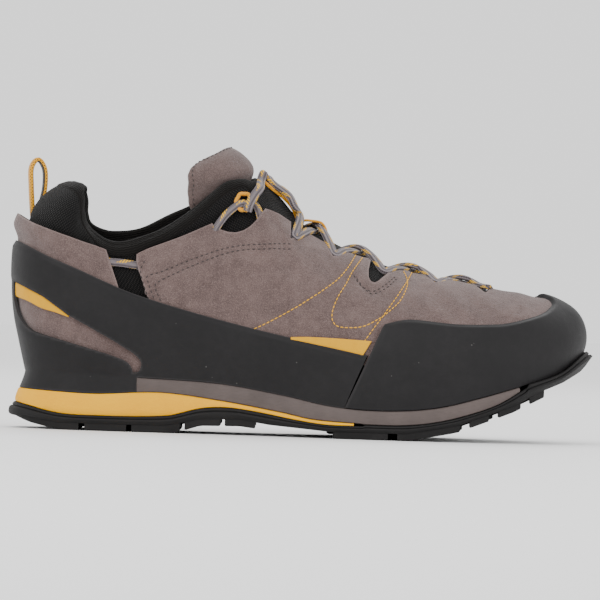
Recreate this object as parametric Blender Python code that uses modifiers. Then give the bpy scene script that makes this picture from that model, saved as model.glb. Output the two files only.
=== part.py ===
"""Approach shoe, right foot, standing empty on its sole.

Metres, +Z up, toe towards +X, outer (lateral) side towards -Y. The origin lies on the floor under the
flat of the heel. Upper, rand and padded sock are all lifted off one last surface: a ring of sections,
each a cubic curve from the feather line up to the collar or, over the instep, to the ridge.
"""

import math
from collections import namedtuple

import bmesh
import bpy
from mathutils import Vector

# Driving dimensions
LENGTH = 0.300          # back of the heel to the toe bumper
HEEL_REACH = 0.0574     # back of the heel behind the origin
BALL_WIDTH = 0.104      # across the sole at the ball, the measure of all widths
STACK = 0.029           # feather line above the floor at the heel
RISE = 0.098            # heel of the collar above that feather line
SUEDE_WALL = 0.0020
RAND_WALL = 0.0018
TOE_RAND_WALL = 0.0022
SOCK_WALL = 0.0036
ACCENT_WALL = 0.0008
INSOLE_THICKNESS = 0.0035
TONGUE_THICKNESS = 0.0050
CLEARANCE = 0.0003      # between pieces that face each other flat
SKIN_GAP = 0.0004       # between pieces lifted off the last
SOCK_GAP_IN = 0.0006    # between the upper and the sock inside it
FOOT_MARGIN = 0.0001    # feet of upper and rands above the feather line
FLANGE_GAP = 0.0010     # under the slanting foot of the heel flange
HEEL_FLARE = 0.0040     # how far the heel band of the upper stands off its sock
LACE_RADIUS = 0.0023
EYELET_RADIUS = 0.0029
LOOP_RADIUS = 0.0011
RING_RADIUS = 0.0052
RING_WIRE = 0.0010
LUG_DEPTH = 0.017       # from the edge of the sole inwards
LUG_ROOT = 0.0012       # how far lugs reach into the plate of the outsole
CENTRE_GROOVE = 0.002   # half the groove between the heel lugs of the two sides

# Depth of the tongue's centre below the ridge of the last, and height of the laces over it
TONGUE_DEPTH = SUEDE_WALL + SOCK_GAP_IN + SOCK_WALL + SKIN_GAP + 0.74 * TONGUE_THICKNESS
LACE_LIFT = 1.4 * LACE_RADIUS

# Sections of the last, heel to toe. Along: shares of LENGTH. Widths, belly and shoulder: shares of
# BALL_WIDTH. Height: share of RISE above STACK. Rise and drop: shares of the section's own height.
Section = namedtuple("Section", "foot lateral medial top half shift height belly rise shoulder drop")
SECTIONS = [
    Section(0.033, 0.000, 0.000, 0.088, 0.000, 0.000, 0.997, 0.100, 0.42, 0.335, 0.11),
    Section(0.046, 0.159, 0.159, 0.095, 0.106, 0.000, 0.992, 0.092, 0.42, 0.300, 0.12),
    Section(0.088, 0.264, 0.264, 0.110, 0.202, 0.000, 0.954, 0.078, 0.42, 0.205, 0.14),
    Section(0.158, 0.312, 0.308, 0.125, 0.260, 0.000, 0.811, 0.058, 0.40, 0.085, 0.18),
    Section(0.238, 0.322, 0.308, 0.161, 0.288, 0.000, 0.702, 0.043, 0.40, 0.034, 0.25),
    Section(0.311, 0.327, 0.288, 0.218, 0.293, 0.000, 0.704, 0.043, 0.40, 0.029, 0.25),
    Section(0.381, 0.341, 0.274, 0.288, 0.264, 0.000, 0.811, 0.043, 0.42, 0.058, 0.20),
    Section(0.445, 0.365, 0.288, 0.358, 0.192, 0.000, 0.969, 0.043, 0.43, 0.115, 0.10),
    Section(0.491, 0.394, 0.317, 0.405, 0.111, 0.000, 1.036, 0.043, 0.42, 0.163, 0.03),
    Section(0.528, 0.418, 0.351, 0.425, 0.000, 0.000, 1.051, 0.043, 0.42, 0.212, 0.00),
    Section(0.578, 0.447, 0.389, 0.485, 0.000, 0.000, 0.852, 0.048, 0.45, 0.231, 0.00),
    Section(0.638, 0.471, 0.428, 0.555, 0.000, 0.010, 0.730, 0.048, 0.48, 0.250, 0.00),
    Section(0.701, 0.476, 0.452, 0.638, 0.000, 0.019, 0.628, 0.048, 0.50, 0.269, 0.00),
    Section(0.771, 0.452, 0.452, 0.725, 0.000, 0.029, 0.564, 0.048, 0.52, 0.269, 0.00),
    Section(0.838, 0.394, 0.428, 0.791, 0.000, 0.038, 0.526, 0.058, 0.55, 0.260, 0.00),
    Section(0.898, 0.288, 0.370, 0.841, 0.000, 0.048, 0.498, 0.067, 0.58, 0.231, 0.00),
    Section(0.943, 0.125, 0.269, 0.870, 0.000, 0.058, 0.478, 0.087, 0.60, 0.202, 0.00),
    Section(0.965, -0.087, 0.087, 0.883, 0.000, 0.058, 0.470, 0.106, 0.63, 0.197, 0.00),
]
TOE = len(SECTIONS) - 1     # ring position of the toe; the inner side runs on from here to twice this
THROAT = 9                  # section at which the collar closes over the instep

# Lines of the side view: share of LENGTH from the heel, then share of STACK above the floor
FEATHER = [(-0.01, 1.007), (0.154, 1.0), (0.22, 0.962), (0.36, 0.897), (0.47, 0.728), (0.543, 0.579),
           (0.6, 0.524), (0.67, 0.528), (0.735, 0.607), (0.8, 0.783), (0.883, 1.048), (0.942, 1.272),
           (0.981, 1.603), (1.01, 1.86)]
WEDGE_TOP = [(-0.002, 0.717), (0.08, 0.669), (0.152, 0.648), (0.26, 0.703), (0.361, 0.597),
             (0.471, 0.417), (0.52, 0.321), (0.606, 0.269)]
WEDGE_FOOT = [(-0.002, 0.497), (0.032, 0.417), (0.081, 0.307), (0.129, 0.272), (0.273, 0.307),
              (0.332, 0.455), (0.375, 0.483), (0.423, 0.428), (0.496, 0.3), (0.544, 0.241), (0.606, 0.238)]
SHANK_FOOT = [(0.6, 0.259), (0.671, 0.262), (0.726, 0.328), (0.78, 0.469), (0.834, 0.679), (0.883, 1.0)]
TREAD_ROOT = [(0.0, 0.34), (0.038, 0.21), (0.088, 0.124), (0.271, 0.124), (0.331, 0.26), (0.396, 0.276),
              (0.448, 0.2), (0.551, 0.117), (0.681, 0.124), (0.765, 0.29), (0.858, 0.65), (0.908, 0.93),
              (0.945, 1.09), (1.0, 1.42)]
TREAD_FACE = [(0.0, 0.262), (0.038, 0.114), (0.088, 0.0), (0.285, 0.0), (0.331, 0.145), (0.396, 0.16),
              (0.5, 0.041), (0.555, 0.0), (0.681, 0.0), (0.765, 0.172), (0.858, 0.545), (0.945, 1.0),
              (1.0, 1.3)]

# Lines of the upper: share of LENGTH, then share of RISE above STACK
RAND_EDGE = [(-0.01, 0.692), (0.015, 0.673), (0.064, 0.604), (0.108, 0.548), (0.185, 0.448),
             (0.239, 0.394), (0.322, 0.326), (0.419, 0.257), (0.467, 0.226), (0.6, 0.139)]
SUEDE_EDGE = [(-0.01, 0.832), (0.031, 0.782), (0.078, 0.728), (0.161, 0.647), (0.211, 0.631),
              (0.233, 0.659), (0.292, 0.733), (0.34, 0.8), (0.391, 0.855), (0.431, 0.9), (0.48, 1.02),
              (0.56, 1.2)]
ACCENT_EDGE = [(0.455, 0.232), (0.54, 0.222), (0.617, 0.212)]
HEEL_ACCENT_TOP = [(0.008, 0.462), (0.056, 0.396), (0.103, 0.294)]
HEEL_ACCENT_FOOT = [(0.008, 0.39), (0.056, 0.334), (0.103, 0.29)]
ACCENT_ABOVE_RAND = 0.006       # share of RISE between the rand's edge and the side accent
# Columns of the accents, share of LENGTH
SIDE_ACCENT_COLUMNS = [0.488, 0.51, 0.535, 0.56, 0.585, 0.605]
HEEL_ACCENT_COLUMNS = [0.0165, 0.025, 0.04, 0.06, 0.08, 0.097]
# Height of the toe rand's edge at ring positions
TOE_EDGE = [(11.4, 0.300), (12, 0.326), (13, 0.309), (14, 0.318), (15, 0.365), (16, 0.430),
            (16.5, 0.458), (17, 0.4685)]
# Half-width of the throat between the eyestays, share of BALL_WIDTH, along the shoe
THROAT_WIDTH = [(0.42, 0.150), (0.5, 0.110), (0.6, 0.092), (0.75, 0.080), (0.85, 0.070)]

# Outlines cut through both sides, share of LENGTH and share of RISE above STACK
HEEL_WINDOW = [(0.009, 0.469), (0.056, 0.403), (0.103, 0.301), (0.152, 0.22), (0.195, 0.146),
               (0.22, 0.101), (0.228, 0.06), (0.226, -0.05), (0.216, -0.05), (0.21, 0.047), (0.196, 0.083),
               (0.135, 0.135), (0.084, 0.178), (0.045, 0.21), (0.025, 0.27), (0.011, 0.386)]
SOCK_GAP = [(0.155, 0.80), (0.161, 0.66), (0.186, 0.418), (0.236, 0.372), (0.217, 0.557), (0.209, 0.66),
            (0.206, 0.80)]
SCALLOP = [(0.336, 0.9), (0.34, 0.8), (0.346, 0.776), (0.357, 0.761), (0.381, 0.753), (0.393, 0.765),
           (0.405, 0.791), (0.419, 0.846), (0.431, 0.93), (0.411, 1.0)]

# Ledges of the sole: how far each stands out from the foot of the last at side, heel and toe, shares of
# BALL_WIDTH
Ledge = namedtuple("Ledge", "side heel toe")
SHANK_TOP = Ledge(0.026, -0.004, 0.043)
SHANK_BASE = Ledge(0.0355, -0.004, 0.053)
WEDGE_LIP = Ledge(0.0327, 0.050, 0.048)
WEDGE_BASE = Ledge(0.0394, 0.0673, 0.048)
OUTSOLE_LIP = Ledge(0.0385, 0.0673, 0.0635)
OUTSOLE_RIM = Ledge(0.0471, 0.0952, 0.098)
OUTSOLE_FOOT = Ledge(0.0346, 0.075, 0.0442)

# Lugs of the tread along each edge of the sole: start and end, shares of LENGTH
HEEL_LUGS = [(0.012, 0.116), (0.133, 0.204), (0.219, 0.280)]
ARCH_LUGS = [(0.300, 0.352), (0.372, 0.424)]
BALL_LUGS = [(0.556, 0.648), (0.664, 0.770), (0.786, 0.818), (0.834, 0.872), (0.888, 0.912)]
# Bars down the middle of the tread: start, end, and half-width as a share of BALL_WIDTH
MIDDLE_LUGS = [(0.155, 0.228, 0.12), (0.560, 0.598, 0.17), (0.618, 0.656, 0.22), (0.676, 0.714, 0.24),
               (0.734, 0.768, 0.24), (0.790, 0.820, 0.20)]
# Eyelets along each side, share of LENGTH
EYELETS = [0.474, 0.545, 0.622, 0.724, 0.808]
LACE_RING = (0.390, 0.905)      # centre of the lace rings in the side view
# Pull loop in the plane of the heel seam: share of LENGTH from its foot on the sock, share of RISE above
# STACK. Its foot lies as far behind the sock as the first point says.
LOOP_FOOT = 0.860
LOOP = [(-0.0066, 0.851), (-0.0110, 0.872), (-0.0100, 0.929), (-0.0103, 1.041), (0.0007, 1.104),
        (0.0120, 1.051), (0.0123, 0.969), (0.0076, 0.913), (0.0004, 0.867)]
# Tongue from its toe end to its head. Half-width: share of BALL_WIDTH. Back and down: how far its edges
# lie behind the centre, share of LENGTH, and below it, share of RISE. Thick: share of TONGUE_THICKNESS.
# The ribs under the throat hang below the ridge at a ring position. Those of the head are counted from
# the last of them: share of LENGTH and share of RISE.
Rib = namedtuple("Rib", "along height half back down thick")
TONGUE_UNDER = [
    Rib(11.1, 0, 0.135, 0.012, 0.095, 0.45),
    Rib(10.4, 0, 0.175, 0.022, 0.140, 0.85),
    Rib(9.75, 0, 0.175, 0.050, 0.145, 1.00),
    Rib(9.1, 0, 0.160, 0.095, 0.120, 1.05),
]
TONGUE_HEAD = [
    Rib(-0.013, 0.068, 0.190, 0.095, 0.095, 1.05),
    Rib(-0.006, 0.135, 0.225, 0.105, 0.085, 1.10),
    Rib(-0.010, 0.195, 0.215, 0.085, 0.085, 1.05),
    Rib(-0.026, 0.232, 0.165, 0.055, 0.075, 0.85),
    Rib(-0.036, 0.243, 0.100, 0.025, 0.030, 0.55),
]


def along(share):
    """X of a share of the length, counted from the back of the heel."""
    return share * LENGTH - HEEL_REACH


def sole_height(share):
    return share * STACK


def upper_height(share):
    return STACK + share * RISE


def follow(line, where):
    """Value of a line of (position, value) pairs, a cubic through its points."""
    if where <= line[0][0]:
        return line[0][1]
    if where >= line[-1][0]:
        return line[-1][1]
    last = len(line) - 1
    index = max(i for i in range(last) if line[i][0] <= where)
    (x0, y0), (x1, y1) = line[index], line[index + 1]
    before = line[max(index - 1, 0)]
    after = line[min(index + 2, last)]
    slope0 = (y1 - before[1]) / (x1 - before[0])
    slope1 = (after[1] - y0) / (after[0] - x0)
    span = x1 - x0
    f = (where - x0) / span
    g = 1 - f
    return (y0 * (1 + 2 * f) * g * g + slope0 * span * f * g * g
            + y1 * (3 - 2 * f) * f * f - slope1 * span * f * f * g)


def stretch(line, height):
    """The line in metres, with its second column turned by height()."""
    return [(along(share), height(value)) for share, value in line]


def ease(value):
    value = min(max(value, 0.0), 1.0)
    return value * value * (3 - 2 * value)


feather_line = stretch(FEATHER, sole_height)
rand_line = stretch(RAND_EDGE, upper_height)
suede_line = stretch(SUEDE_EDGE, upper_height)
throat_line = [(along(share), width * BALL_WIDTH) for share, width in THROAT_WIDTH]


# The last surface
def ring_rows():
    """Sections once round the shoe: outer side heel to toe, then the inner side back to the heel."""
    rows = []
    for side, order in ((-1, range(0, TOE + 1)), (1, range(TOE - 1, 0, -1))):
        for index in order:
            s = SECTIONS[index]
            width = s.lateral if side < 0 else s.medial
            rows.append((along(s.foot), side * width * BALL_WIDTH, along(s.top), side * s.half * BALL_WIDTH,
                         s.shift * BALL_WIDTH, upper_height(s.height), s.belly * BALL_WIDTH, s.rise,
                         s.shoulder * BALL_WIDTH, s.drop))
    return rows


RING = ring_rows()


def ring_value(u):
    """All columns of the ring at position u, a cubic through its rows."""
    count = len(RING)
    index = math.floor(u)
    f = u - index
    a, b, c, d = (RING[(index + step) % count] for step in (-1, 0, 1, 2))
    return [0.5 * (2 * q + (r - p) * f + (2 * p - 5 * q + 4 * r - s) * f * f
                   + (3 * q - p - 3 * r + s) * f * f * f) for p, q, r, s in zip(a, b, c, d)]


def from_heel(u):
    """Sections between ring position u and the heel seam, on either side."""
    away = u % len(RING)
    return min(away, len(RING) - away)


def is_closed(u):
    """True where the section ends on the ridge and not on the collar."""
    return from_heel(u) >= THROAT


def outward(u):
    """Direction square to the foot of the last, in plan."""
    before = ring_value(u - 0.05)
    after = ring_value(u + 0.05)
    return Vector((after[1] - before[1], before[0] - after[0], 0)).normalized()


def last_point(u, t):
    """Point of the last at ring position u, t from the feather line to the collar or ridge."""
    x, y, top, half, shift, height, belly, rise, shoulder, drop = ring_value(u)
    foot = Vector((x, y, follow(feather_line, x)))
    head = Vector((top, shift if is_closed(u) else shift + half, height))
    side = outward(u)
    tall = height - foot.z
    lower = foot + side * belly + Vector((0, 0, rise * tall))
    upper = head + side * shoulder - Vector((0, 0, drop * tall))
    g = 1 - t
    return foot * g ** 3 + lower * (3 * g * g * t) + upper * (3 * g * t * t) + head * t ** 3


def last_normal(u, t):
    if t > 0.999 and is_closed(u):
        run = last_point(u + 0.1, 1) - last_point(u - 0.1, 1)
        if abs(run.x) > 1e-6:
            return Vector((-run.z / run.x, 0, 1)).normalized()
    side = last_point(u + 0.05, t) - last_point(u - 0.05, t)
    up = last_point(u, t + 0.02) - last_point(u, t - 0.02)
    return side.cross(up).normalized()


def skin(u, t, lift):
    """Point lifted off the last, inwards where lift is negative."""
    return last_point(u, t) + last_normal(u, t) * lift


def solve(test):
    """Share t at which test(t) turns from negative to positive, or 1."""
    low, high = 0.0, 1.0
    if test(high) < 0:
        return 1.0
    for _ in range(18):
        middle = (low + high) / 2
        if test(middle) < 0:
            low = middle
        else:
            high = middle
    return high


def share_at_line(u, line):
    """Share at which the section crosses a line of the side view."""
    def test(t):
        point = last_point(u, t)
        return point.z - follow(line, point.x)
    return solve(test)


def share_at_height(u, height):
    return solve(lambda t: last_point(u, t).z - height)


def throat_share(u):
    """Share at which the section reaches the edge of the throat, 1 where it stays outside."""
    if from_heel(u) < THROAT - 2:
        return 1.0
    centre = ring_value(u)[4]

    def test(t):
        point = last_point(u, t)
        return follow(throat_line, point.x) - abs(point.y - centre)
    return solve(test)


def foot_share(u, lift):
    """Share at which a piece lifted off the last starts, just clear of the sole."""
    def test(t):
        point = skin(u, t, lift)
        return point.z - follow(feather_line, point.x) - FOOT_MARGIN
    return 0.0 if test(0.0) >= 0 else solve(test)


def position_of(side, x, height):
    """Ring position and share of the point of the last at x and height on one side."""
    low, high = 0.0, float(TOE)
    for _ in range(18):
        middle = (low + high) / 2
        u = side_position(side, middle)
        if last_point(u, share_at_height(u, height)).x < x:
            low = middle
        else:
            high = middle
    u = side_position(side, high)
    return u, share_at_height(u, height)


def side_position(side, u):
    return u if side < 0 else len(RING) - u


# Ring positions of the columns of a skin: two to a section, and closer at the end of the heel flange
FLANGE_END = 3.6
STATIONS = sorted({step / 2 for step in range(2 * TOE + 1)} - {3.5}
                  | {3.25, FLANGE_END, FLANGE_END + 0.15, TOE - 0.75, TOE - 0.25})


def columns(first, last):
    """Columns in ring order from position `first` on the inner side, round the heel, to `last`."""
    inner = [-u for u in reversed(STATIONS) if 0 < u <= first]
    return inner + [u for u in STATIONS if u <= last]


# Mesh helpers
collection = None
cutters = None


def material(name, colour, roughness, metallic=0.0):
    mat = bpy.data.materials.new(name)
    mat.use_nodes = True
    shader = mat.node_tree.nodes["Principled BSDF"]
    shader.inputs["Base Color"].default_value = (*colour, 1)
    shader.inputs["Roughness"].default_value = roughness
    shader.inputs["Metallic"].default_value = metallic
    return mat


def add(name, mesh, mat, group=None):
    obj = bpy.data.objects.new(name, mesh)
    (group or collection).objects.link(obj)
    if mat:
        mesh.materials.append(mat)
    mesh.shade_smooth()
    mesh.set_sharp_from_angle(angle=math.radians(40))
    return obj


def finish(bm, name):
    """Mesh of a bmesh whose faces already point out."""
    mesh = bpy.data.meshes.new(name)
    bm.to_mesh(mesh)
    bm.free()
    return mesh


def sheet(name, across, rows, place, ring, mat):
    """Open surface through place(column, row), with points that meet joined; ring closes it round."""
    bm = bmesh.new()
    lines = [[bm.verts.new(place(u, v)) for v in rows] for u in across]
    if ring:
        lines.append(lines[0])
    for one, two in zip(lines, lines[1:]):
        for low in range(len(rows) - 1):
            bm.faces.new((one[low], two[low], two[low + 1], one[low + 1]))
    bmesh.ops.remove_doubles(bm, verts=bm.verts, dist=0.00002)
    bmesh.ops.dissolve_degenerate(bm, edges=bm.edges, dist=0.00001)
    return add(name, finish(bm, name), mat)


def thicken(obj, wall):
    """Wall that grows inwards from the surface."""
    shell = obj.modifiers.new("Wall", "SOLIDIFY")
    shell.thickness = wall
    shell.offset = -1
    shell.use_quality_normals = True


def cut(obj, tool, operation="DIFFERENCE"):
    boolean = obj.modifiers.new(tool.name, "BOOLEAN")
    boolean.operation = operation
    boolean.solver = "EXACT"
    boolean.object = tool


def hide(obj):
    obj.hide_render = True
    obj.display_type = "WIRE"
    return obj


def prism(name, outline, low, high):
    """Cutter: an outline of the side view drawn from y = low to y = high."""
    bm = bmesh.new()
    near = [bm.verts.new((along(x), low, upper_height(z))) for x, z in outline]
    far = [bm.verts.new((along(x), high, upper_height(z))) for x, z in outline]
    bm.faces.new(near)
    bm.faces.new(reversed(far))
    count = len(outline)
    for i in range(count):
        j = (i + 1) % count
        bm.faces.new((near[i], far[i], far[j], near[j]))
    bmesh.ops.recalc_face_normals(bm, faces=bm.faces)
    return hide(add(name, finish(bm, name), None, cutters))


def tube(name, points, radius, mat, cyclic=False, resolution=1):
    """Round cord through points, as a closed mesh."""
    curve = bpy.data.curves.new(name, "CURVE")
    curve.dimensions = "3D"
    curve.bevel_depth = radius
    curve.bevel_resolution = resolution
    curve.use_fill_caps = True
    spline = curve.splines.new("POLY")
    spline.points.add(len(points) - 1)
    for point, place in zip(spline.points, points):
        point.co = (*place, 1)
    spline.use_cyclic_u = cyclic
    guide = bpy.data.objects.new(name, curve)
    cutters.objects.link(guide)
    mesh = bpy.data.meshes.new_from_object(guide.evaluated_get(bpy.context.evaluated_depsgraph_get()))
    bpy.data.objects.remove(guide)
    bm = bmesh.new()
    bm.from_mesh(mesh)
    bmesh.ops.remove_doubles(bm, verts=bm.verts, dist=0.00001)
    bmesh.ops.recalc_face_normals(bm, faces=bm.faces)
    bm.to_mesh(mesh)
    bm.free()
    return add(name, mesh, mat)


def smooth_path(points, steps, cyclic=False):
    """Points along a cubic through the given ones."""
    count = len(points)
    spans = count if cyclic else count - 1
    path = []
    for i in range(spans):
        if cyclic:
            a, b, c, d = (points[(i + k) % count] for k in (-1, 0, 1, 2))
        else:
            a, b, c, d = (points[min(max(i + k, 0), count - 1)] for k in (-1, 0, 1, 2))
        for step in range(steps):
            f = step / steps
            path.append(0.5 * (2 * b + (c - a) * f + (2 * a - 5 * b + 4 * c - d) * f * f
                               + (3 * b - a - 3 * c + d) * f ** 3))
    if not cyclic:
        path.append(points[-1])
    return path


# Upper
def upper_edge(u):
    """Share at which the suede ends: at its line round the collar, at the throat over the instep."""
    if abs(u % len(RING) - TOE) <= 1:
        return 1.0
    return min(share_at_line(u, suede_line), throat_share(u))


def heel_weight(u):
    """1 at the heel seam, 0 from the sides on."""
    return ease(1.15 - from_heel(u) / 2.6)


BELT = 0.70             # row of the upper that follows the rand's edge round the heel
BELT_MARGIN = 0.012     # share by which it lies above that edge


def belt_share(u, foot, edge):
    """Share of the belt row: at the rand's edge round the heel, in step with the rows further on."""
    plain = foot + BELT * (edge - foot)
    weight = ease((6 - from_heel(u)) / 2.5)
    if weight == 0:
        return plain
    return plain + weight * (share_at_line(u, rand_line) + BELT_MARGIN - plain)


def make_upper(mat):
    across = columns(TOE - 0.25, TOE)
    feet = {u: foot_share(u, 0) for u in across}
    edges = {u: upper_edge(u) for u in across}
    belts = {u: belt_share(u, feet[u], edges[u]) for u in across}

    def place(u, v):
        if v < BELT:
            return skin(u, feet[u] + v / BELT * (belts[u] - feet[u]), 0)
        above = (v - BELT) / (1 - BELT)
        lift = HEEL_FLARE * heel_weight(u) * ease(above * 1.5)
        return skin(u, belts[u] + above * (edges[u] - belts[u]), lift)

    rows = (0, 0.14, 0.28, 0.42, 0.56, BELT, 0.80, 0.90, 1.0)
    upper = sheet("upper", across, rows, place, True, mat)
    thicken(upper, SUEDE_WALL)
    half = BALL_WIDTH
    cut(upper, prism("sock_gap_cutter", SOCK_GAP, -half, half))
    cut(upper, prism("scallop_cutter", SCALLOP, -half, half))
    cut(upper, eyelet_cutters())
    return upper


def eyelet_place(side, share):
    """Ring position and share of an eyelet, its centre inside the edge of the throat."""
    x = along(share)
    low, high = float(THROAT), float(TOE)
    for _ in range(18):
        middle = (low + high) / 2
        u = side_position(side, middle)
        if last_point(u, throat_share(u)).x < x:
            low = middle
        else:
            high = middle
    u = side_position(side, high)
    edge = throat_share(u)
    step = (last_point(u, edge) - last_point(u, edge - 0.02)).length / 0.02
    return u, edge - EYELET_RADIUS * 0.9 / step


def eyelet_cutters():
    """Round pegs square to the upper at every eyelet, in one cutter."""
    bm = bmesh.new()
    for side in (-1, 1):
        for share in EYELETS:
            u, t = eyelet_place(side, share)
            peg = bmesh.ops.create_cone(bm, cap_ends=True, segments=12, radius1=EYELET_RADIUS,
                                        radius2=EYELET_RADIUS, depth=6 * SUEDE_WALL)
            turn = Vector((0, 0, 1)).rotation_difference(last_normal(u, t)).to_matrix()
            bmesh.ops.rotate(bm, verts=peg["verts"], matrix=turn)
            bmesh.ops.translate(bm, verts=peg["verts"], vec=skin(u, t, -SUEDE_WALL / 2))
    return hide(add("eyelet_cutter", finish(bm, "eyelet_cutter"), None, cutters))


# Padded sock
SOCK_END = 15.5         # ring position of the front end of the sock
SOCK_FOOT = [(0, 0.40), (THROAT, 0.46), (12, 0.60), (SOCK_END, 0.66)]


def make_sock(mat):
    across = columns(SOCK_END, SOCK_END)
    feet = {u: follow(SOCK_FOOT, abs(u)) for u in across}

    def place(u, v):
        t = feet[u] + v * (1 - feet[u])
        return skin(u, t, -SUEDE_WALL - SOCK_GAP_IN)

    rows = (0, 0.25, 0.5, 0.72, 0.88, 1.0)
    sock = sheet("sock", across, rows, place, False, mat)
    thicken(sock, SOCK_WALL)
    return sock


# Rands
SEAM_FOOT = 9.95        # ring positions of the seam between the rands, at the sole and at its top
SEAM_TOP = 10.8
CORNER = 11.4           # rear corner of the toe rand
SEAM_SLACK = 0.012      # half the gap of the seam
HEEL_LEAN = 8.0         # ring positions from which the columns of the two rands lean with the seam
TOE_LEAN = 13.0
FLANGE_SLACK = 0.001    # margin that tells the faces of the flange from the rest


def rand_seam(t):
    """Ring position of the seam at share t, straight on to the corner of the toe rand."""
    corner = share_at_height(CORNER, upper_height(TOE_EDGE[0][1]))
    return SEAM_FOOT + (CORNER - SEAM_FOOT) * (t / corner) ** 1.1


HEEL_RAND_ROWS = (-1.0, -0.5, 0, 0.2, 0.4, 0.6, 0.8, 1.0)     # below 0 the flange
TOE_RAND_ROWS = (0, 0.18, 0.36, 0.54, 0.70, 0.85, 1.0)


def make_heel_rand(mat):
    lift = SKIN_GAP + RAND_WALL
    inner = [-u for u in reversed(STATIONS) if 0 < u <= HEEL_LEAN]
    beyond = [HEEL_LEAN + (SEAM_TOP - HEEL_LEAN) * step / 5 for step in range(1, 6)]
    across = [-u for u in reversed(beyond)] + inner + [u for u in STATIONS if u <= HEEL_LEAN] + beyond
    seam_share = share_at_line(SEAM_TOP, rand_line)
    seams = {v: rand_seam(max(v, 0) * seam_share) for v in HEEL_RAND_ROWS}

    def place(u, v):
        away = abs(u)
        if away > HEEL_LEAN:
            reach = seams[v] - SEAM_SLACK - HEEL_LEAN
            away = HEEL_LEAN + (away - HEEL_LEAN) * reach / (SEAM_TOP - HEEL_LEAN)
        u = math.copysign(away, u)
        if v < 0:
            return flange_point(u, -v, lift)
        foot = foot_share(u, lift)
        return skin(u, foot + v * (share_at_line(u, rand_line) - foot), lift)

    rand = sheet("heel_rand", across, HEEL_RAND_ROWS, place, False, mat)
    trim_flange(rand)
    thicken(rand, RAND_WALL)
    half = BALL_WIDTH
    cut(rand, prism("window_cutter", HEEL_WINDOW, -half, half))
    return rand


wedge_top_line = stretch(WEDGE_TOP, sole_height)


def flange_point(u, share, lift):
    """Point of the heel flange, from the feather line down over the midsole."""
    row = ring_value(u)
    side = outward(u)
    start = Vector((row[0], row[1], 0)) + side * lift
    reach = follow_ledge(WEDGE_LIP, u) - CLEARANCE - lift
    point = start + side * max(reach, SKIN_GAP) * share
    top = follow(feather_line, start.x)
    low = follow(wedge_top_line, point.x) + FLANGE_GAP
    point.z = top + (low - top) * share
    return point


def trim_flange(rand):
    """Take away the faces of the flange rows in front of the flange's end."""
    bm = bmesh.new()
    bm.from_mesh(rand.data)
    limit = ring_value(FLANGE_END)[0]
    extra = []
    for face in bm.faces:
        middle = face.calc_center_median()
        low = middle.z < follow(feather_line, middle.x) - FLANGE_SLACK
        if low and middle.x > limit - FLANGE_SLACK:
            extra.append(face)
    bmesh.ops.delete(bm, geom=extra, context="FACES")
    bm.to_mesh(rand.data)
    bm.free()


def make_toe_rand(mat):
    lift = 1.5 * SKIN_GAP + TOE_RAND_WALL
    first = [CORNER + (TOE_LEAN - CORNER) * step / 4 for step in range(4)]
    outer = first + [u for u in STATIONS if u >= TOE_LEAN]
    across = outer + [2 * TOE - u for u in reversed(outer[:-1])]
    corner_share = share_at_height(CORNER, upper_height(TOE_EDGE[0][1]))
    seams = {v: rand_seam(v * corner_share) for v in TOE_RAND_ROWS}

    def place(u, v):
        side = -1 if u <= TOE else 1
        away = u if side < 0 else 2 * TOE - u
        if away < TOE_LEAN:
            corner = seams[v] + SEAM_SLACK
            away = TOE_LEAN - (TOE_LEAN - away) * (TOE_LEAN - corner) / (TOE_LEAN - CORNER)
        u = side_position(side, away)
        foot = foot_share(u, lift)
        edge = share_at_height(u, upper_height(follow(TOE_EDGE, away)))
        return skin(u, foot + v * (edge - foot), lift)

    rand = sheet("toe_rand", across, TOE_RAND_ROWS, place, False, mat)
    thicken(rand, TOE_RAND_WALL)
    return rand


# Bright accents
def make_accent(name, side, shares, lower, upper, mat):
    """Thin panel on the upper between two lines of the side view."""
    lift = SKIN_GAP + ACCENT_WALL
    positions = []
    for share in shares:
        x = along(share)
        low = position_of(side, x, upper_height(follow(lower, share)))
        high = position_of(side, x, upper_height(follow(upper, share)))
        positions.append((low, high))
    if side > 0:
        positions.reverse()

    def place(index, v):
        (u0, t0), (u1, t1) = positions[index]
        return skin(u0 + (u1 - u0) * v, t0 + (t1 - t0) * v, lift)

    panel = sheet(name, range(len(positions)), (0, 0.5, 1.0), place, False, mat)
    thicken(panel, ACCENT_WALL)
    return panel


# Sole
def follow_ledge(ledge, u):
    """How far a ledge stands out at ring position u."""
    side = outward(u)
    end = ledge.heel if side.x < 0 else ledge.toe
    return (ledge.side + (end - ledge.side) * side.x ** 2) * BALL_WIDTH


def shank_reach(ledge, u):
    """The grey midsole draws in behind the heel flange."""
    if from_heel(u) < FLANGE_END + 0.1:
        return ledge.heel * BALL_WIDTH
    return (ledge.side + (ledge.toe - ledge.side) * outward(u).x ** 2) * BALL_WIDTH


def layer(name, last, rings, mat):
    """Solid across the sole from the heel to station `last`.

    Each ring is (reach(u), height(x)), from the bottom one up.
    """
    bm = bmesh.new()
    stations = [u for u in STATIONS if u <= last]
    if stations[-1] < last:
        stations.append(last)

    def point(u, ring):
        reach, height = ring
        row = ring_value(u)
        place = Vector((row[0], row[1], 0)) + outward(u) * reach(u)
        place.z = height(place.x)
        return bm.verts.new(place)

    whole = last >= TOE
    outer = [[point(u, ring) for u in stations] for ring in rings]
    inner = [[point(len(RING) - u, ring) for u in stations[1:(-1 if whole else None)]] for ring in rings]
    loops = []
    for one, two in zip(outer, inner):
        loops.append(one + list(reversed(two)))
    for low, high in zip(loops, loops[1:]):
        count = len(low)
        for i in range(count):
            j = (i + 1) % count
            bm.faces.new((low[i], low[j], high[j], high[i]))
    for loop, up in ((loops[0], False), (loops[-1], True)):
        cap_ladder(bm, loop, up)
    return add(name, finish(bm, name), mat)


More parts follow.
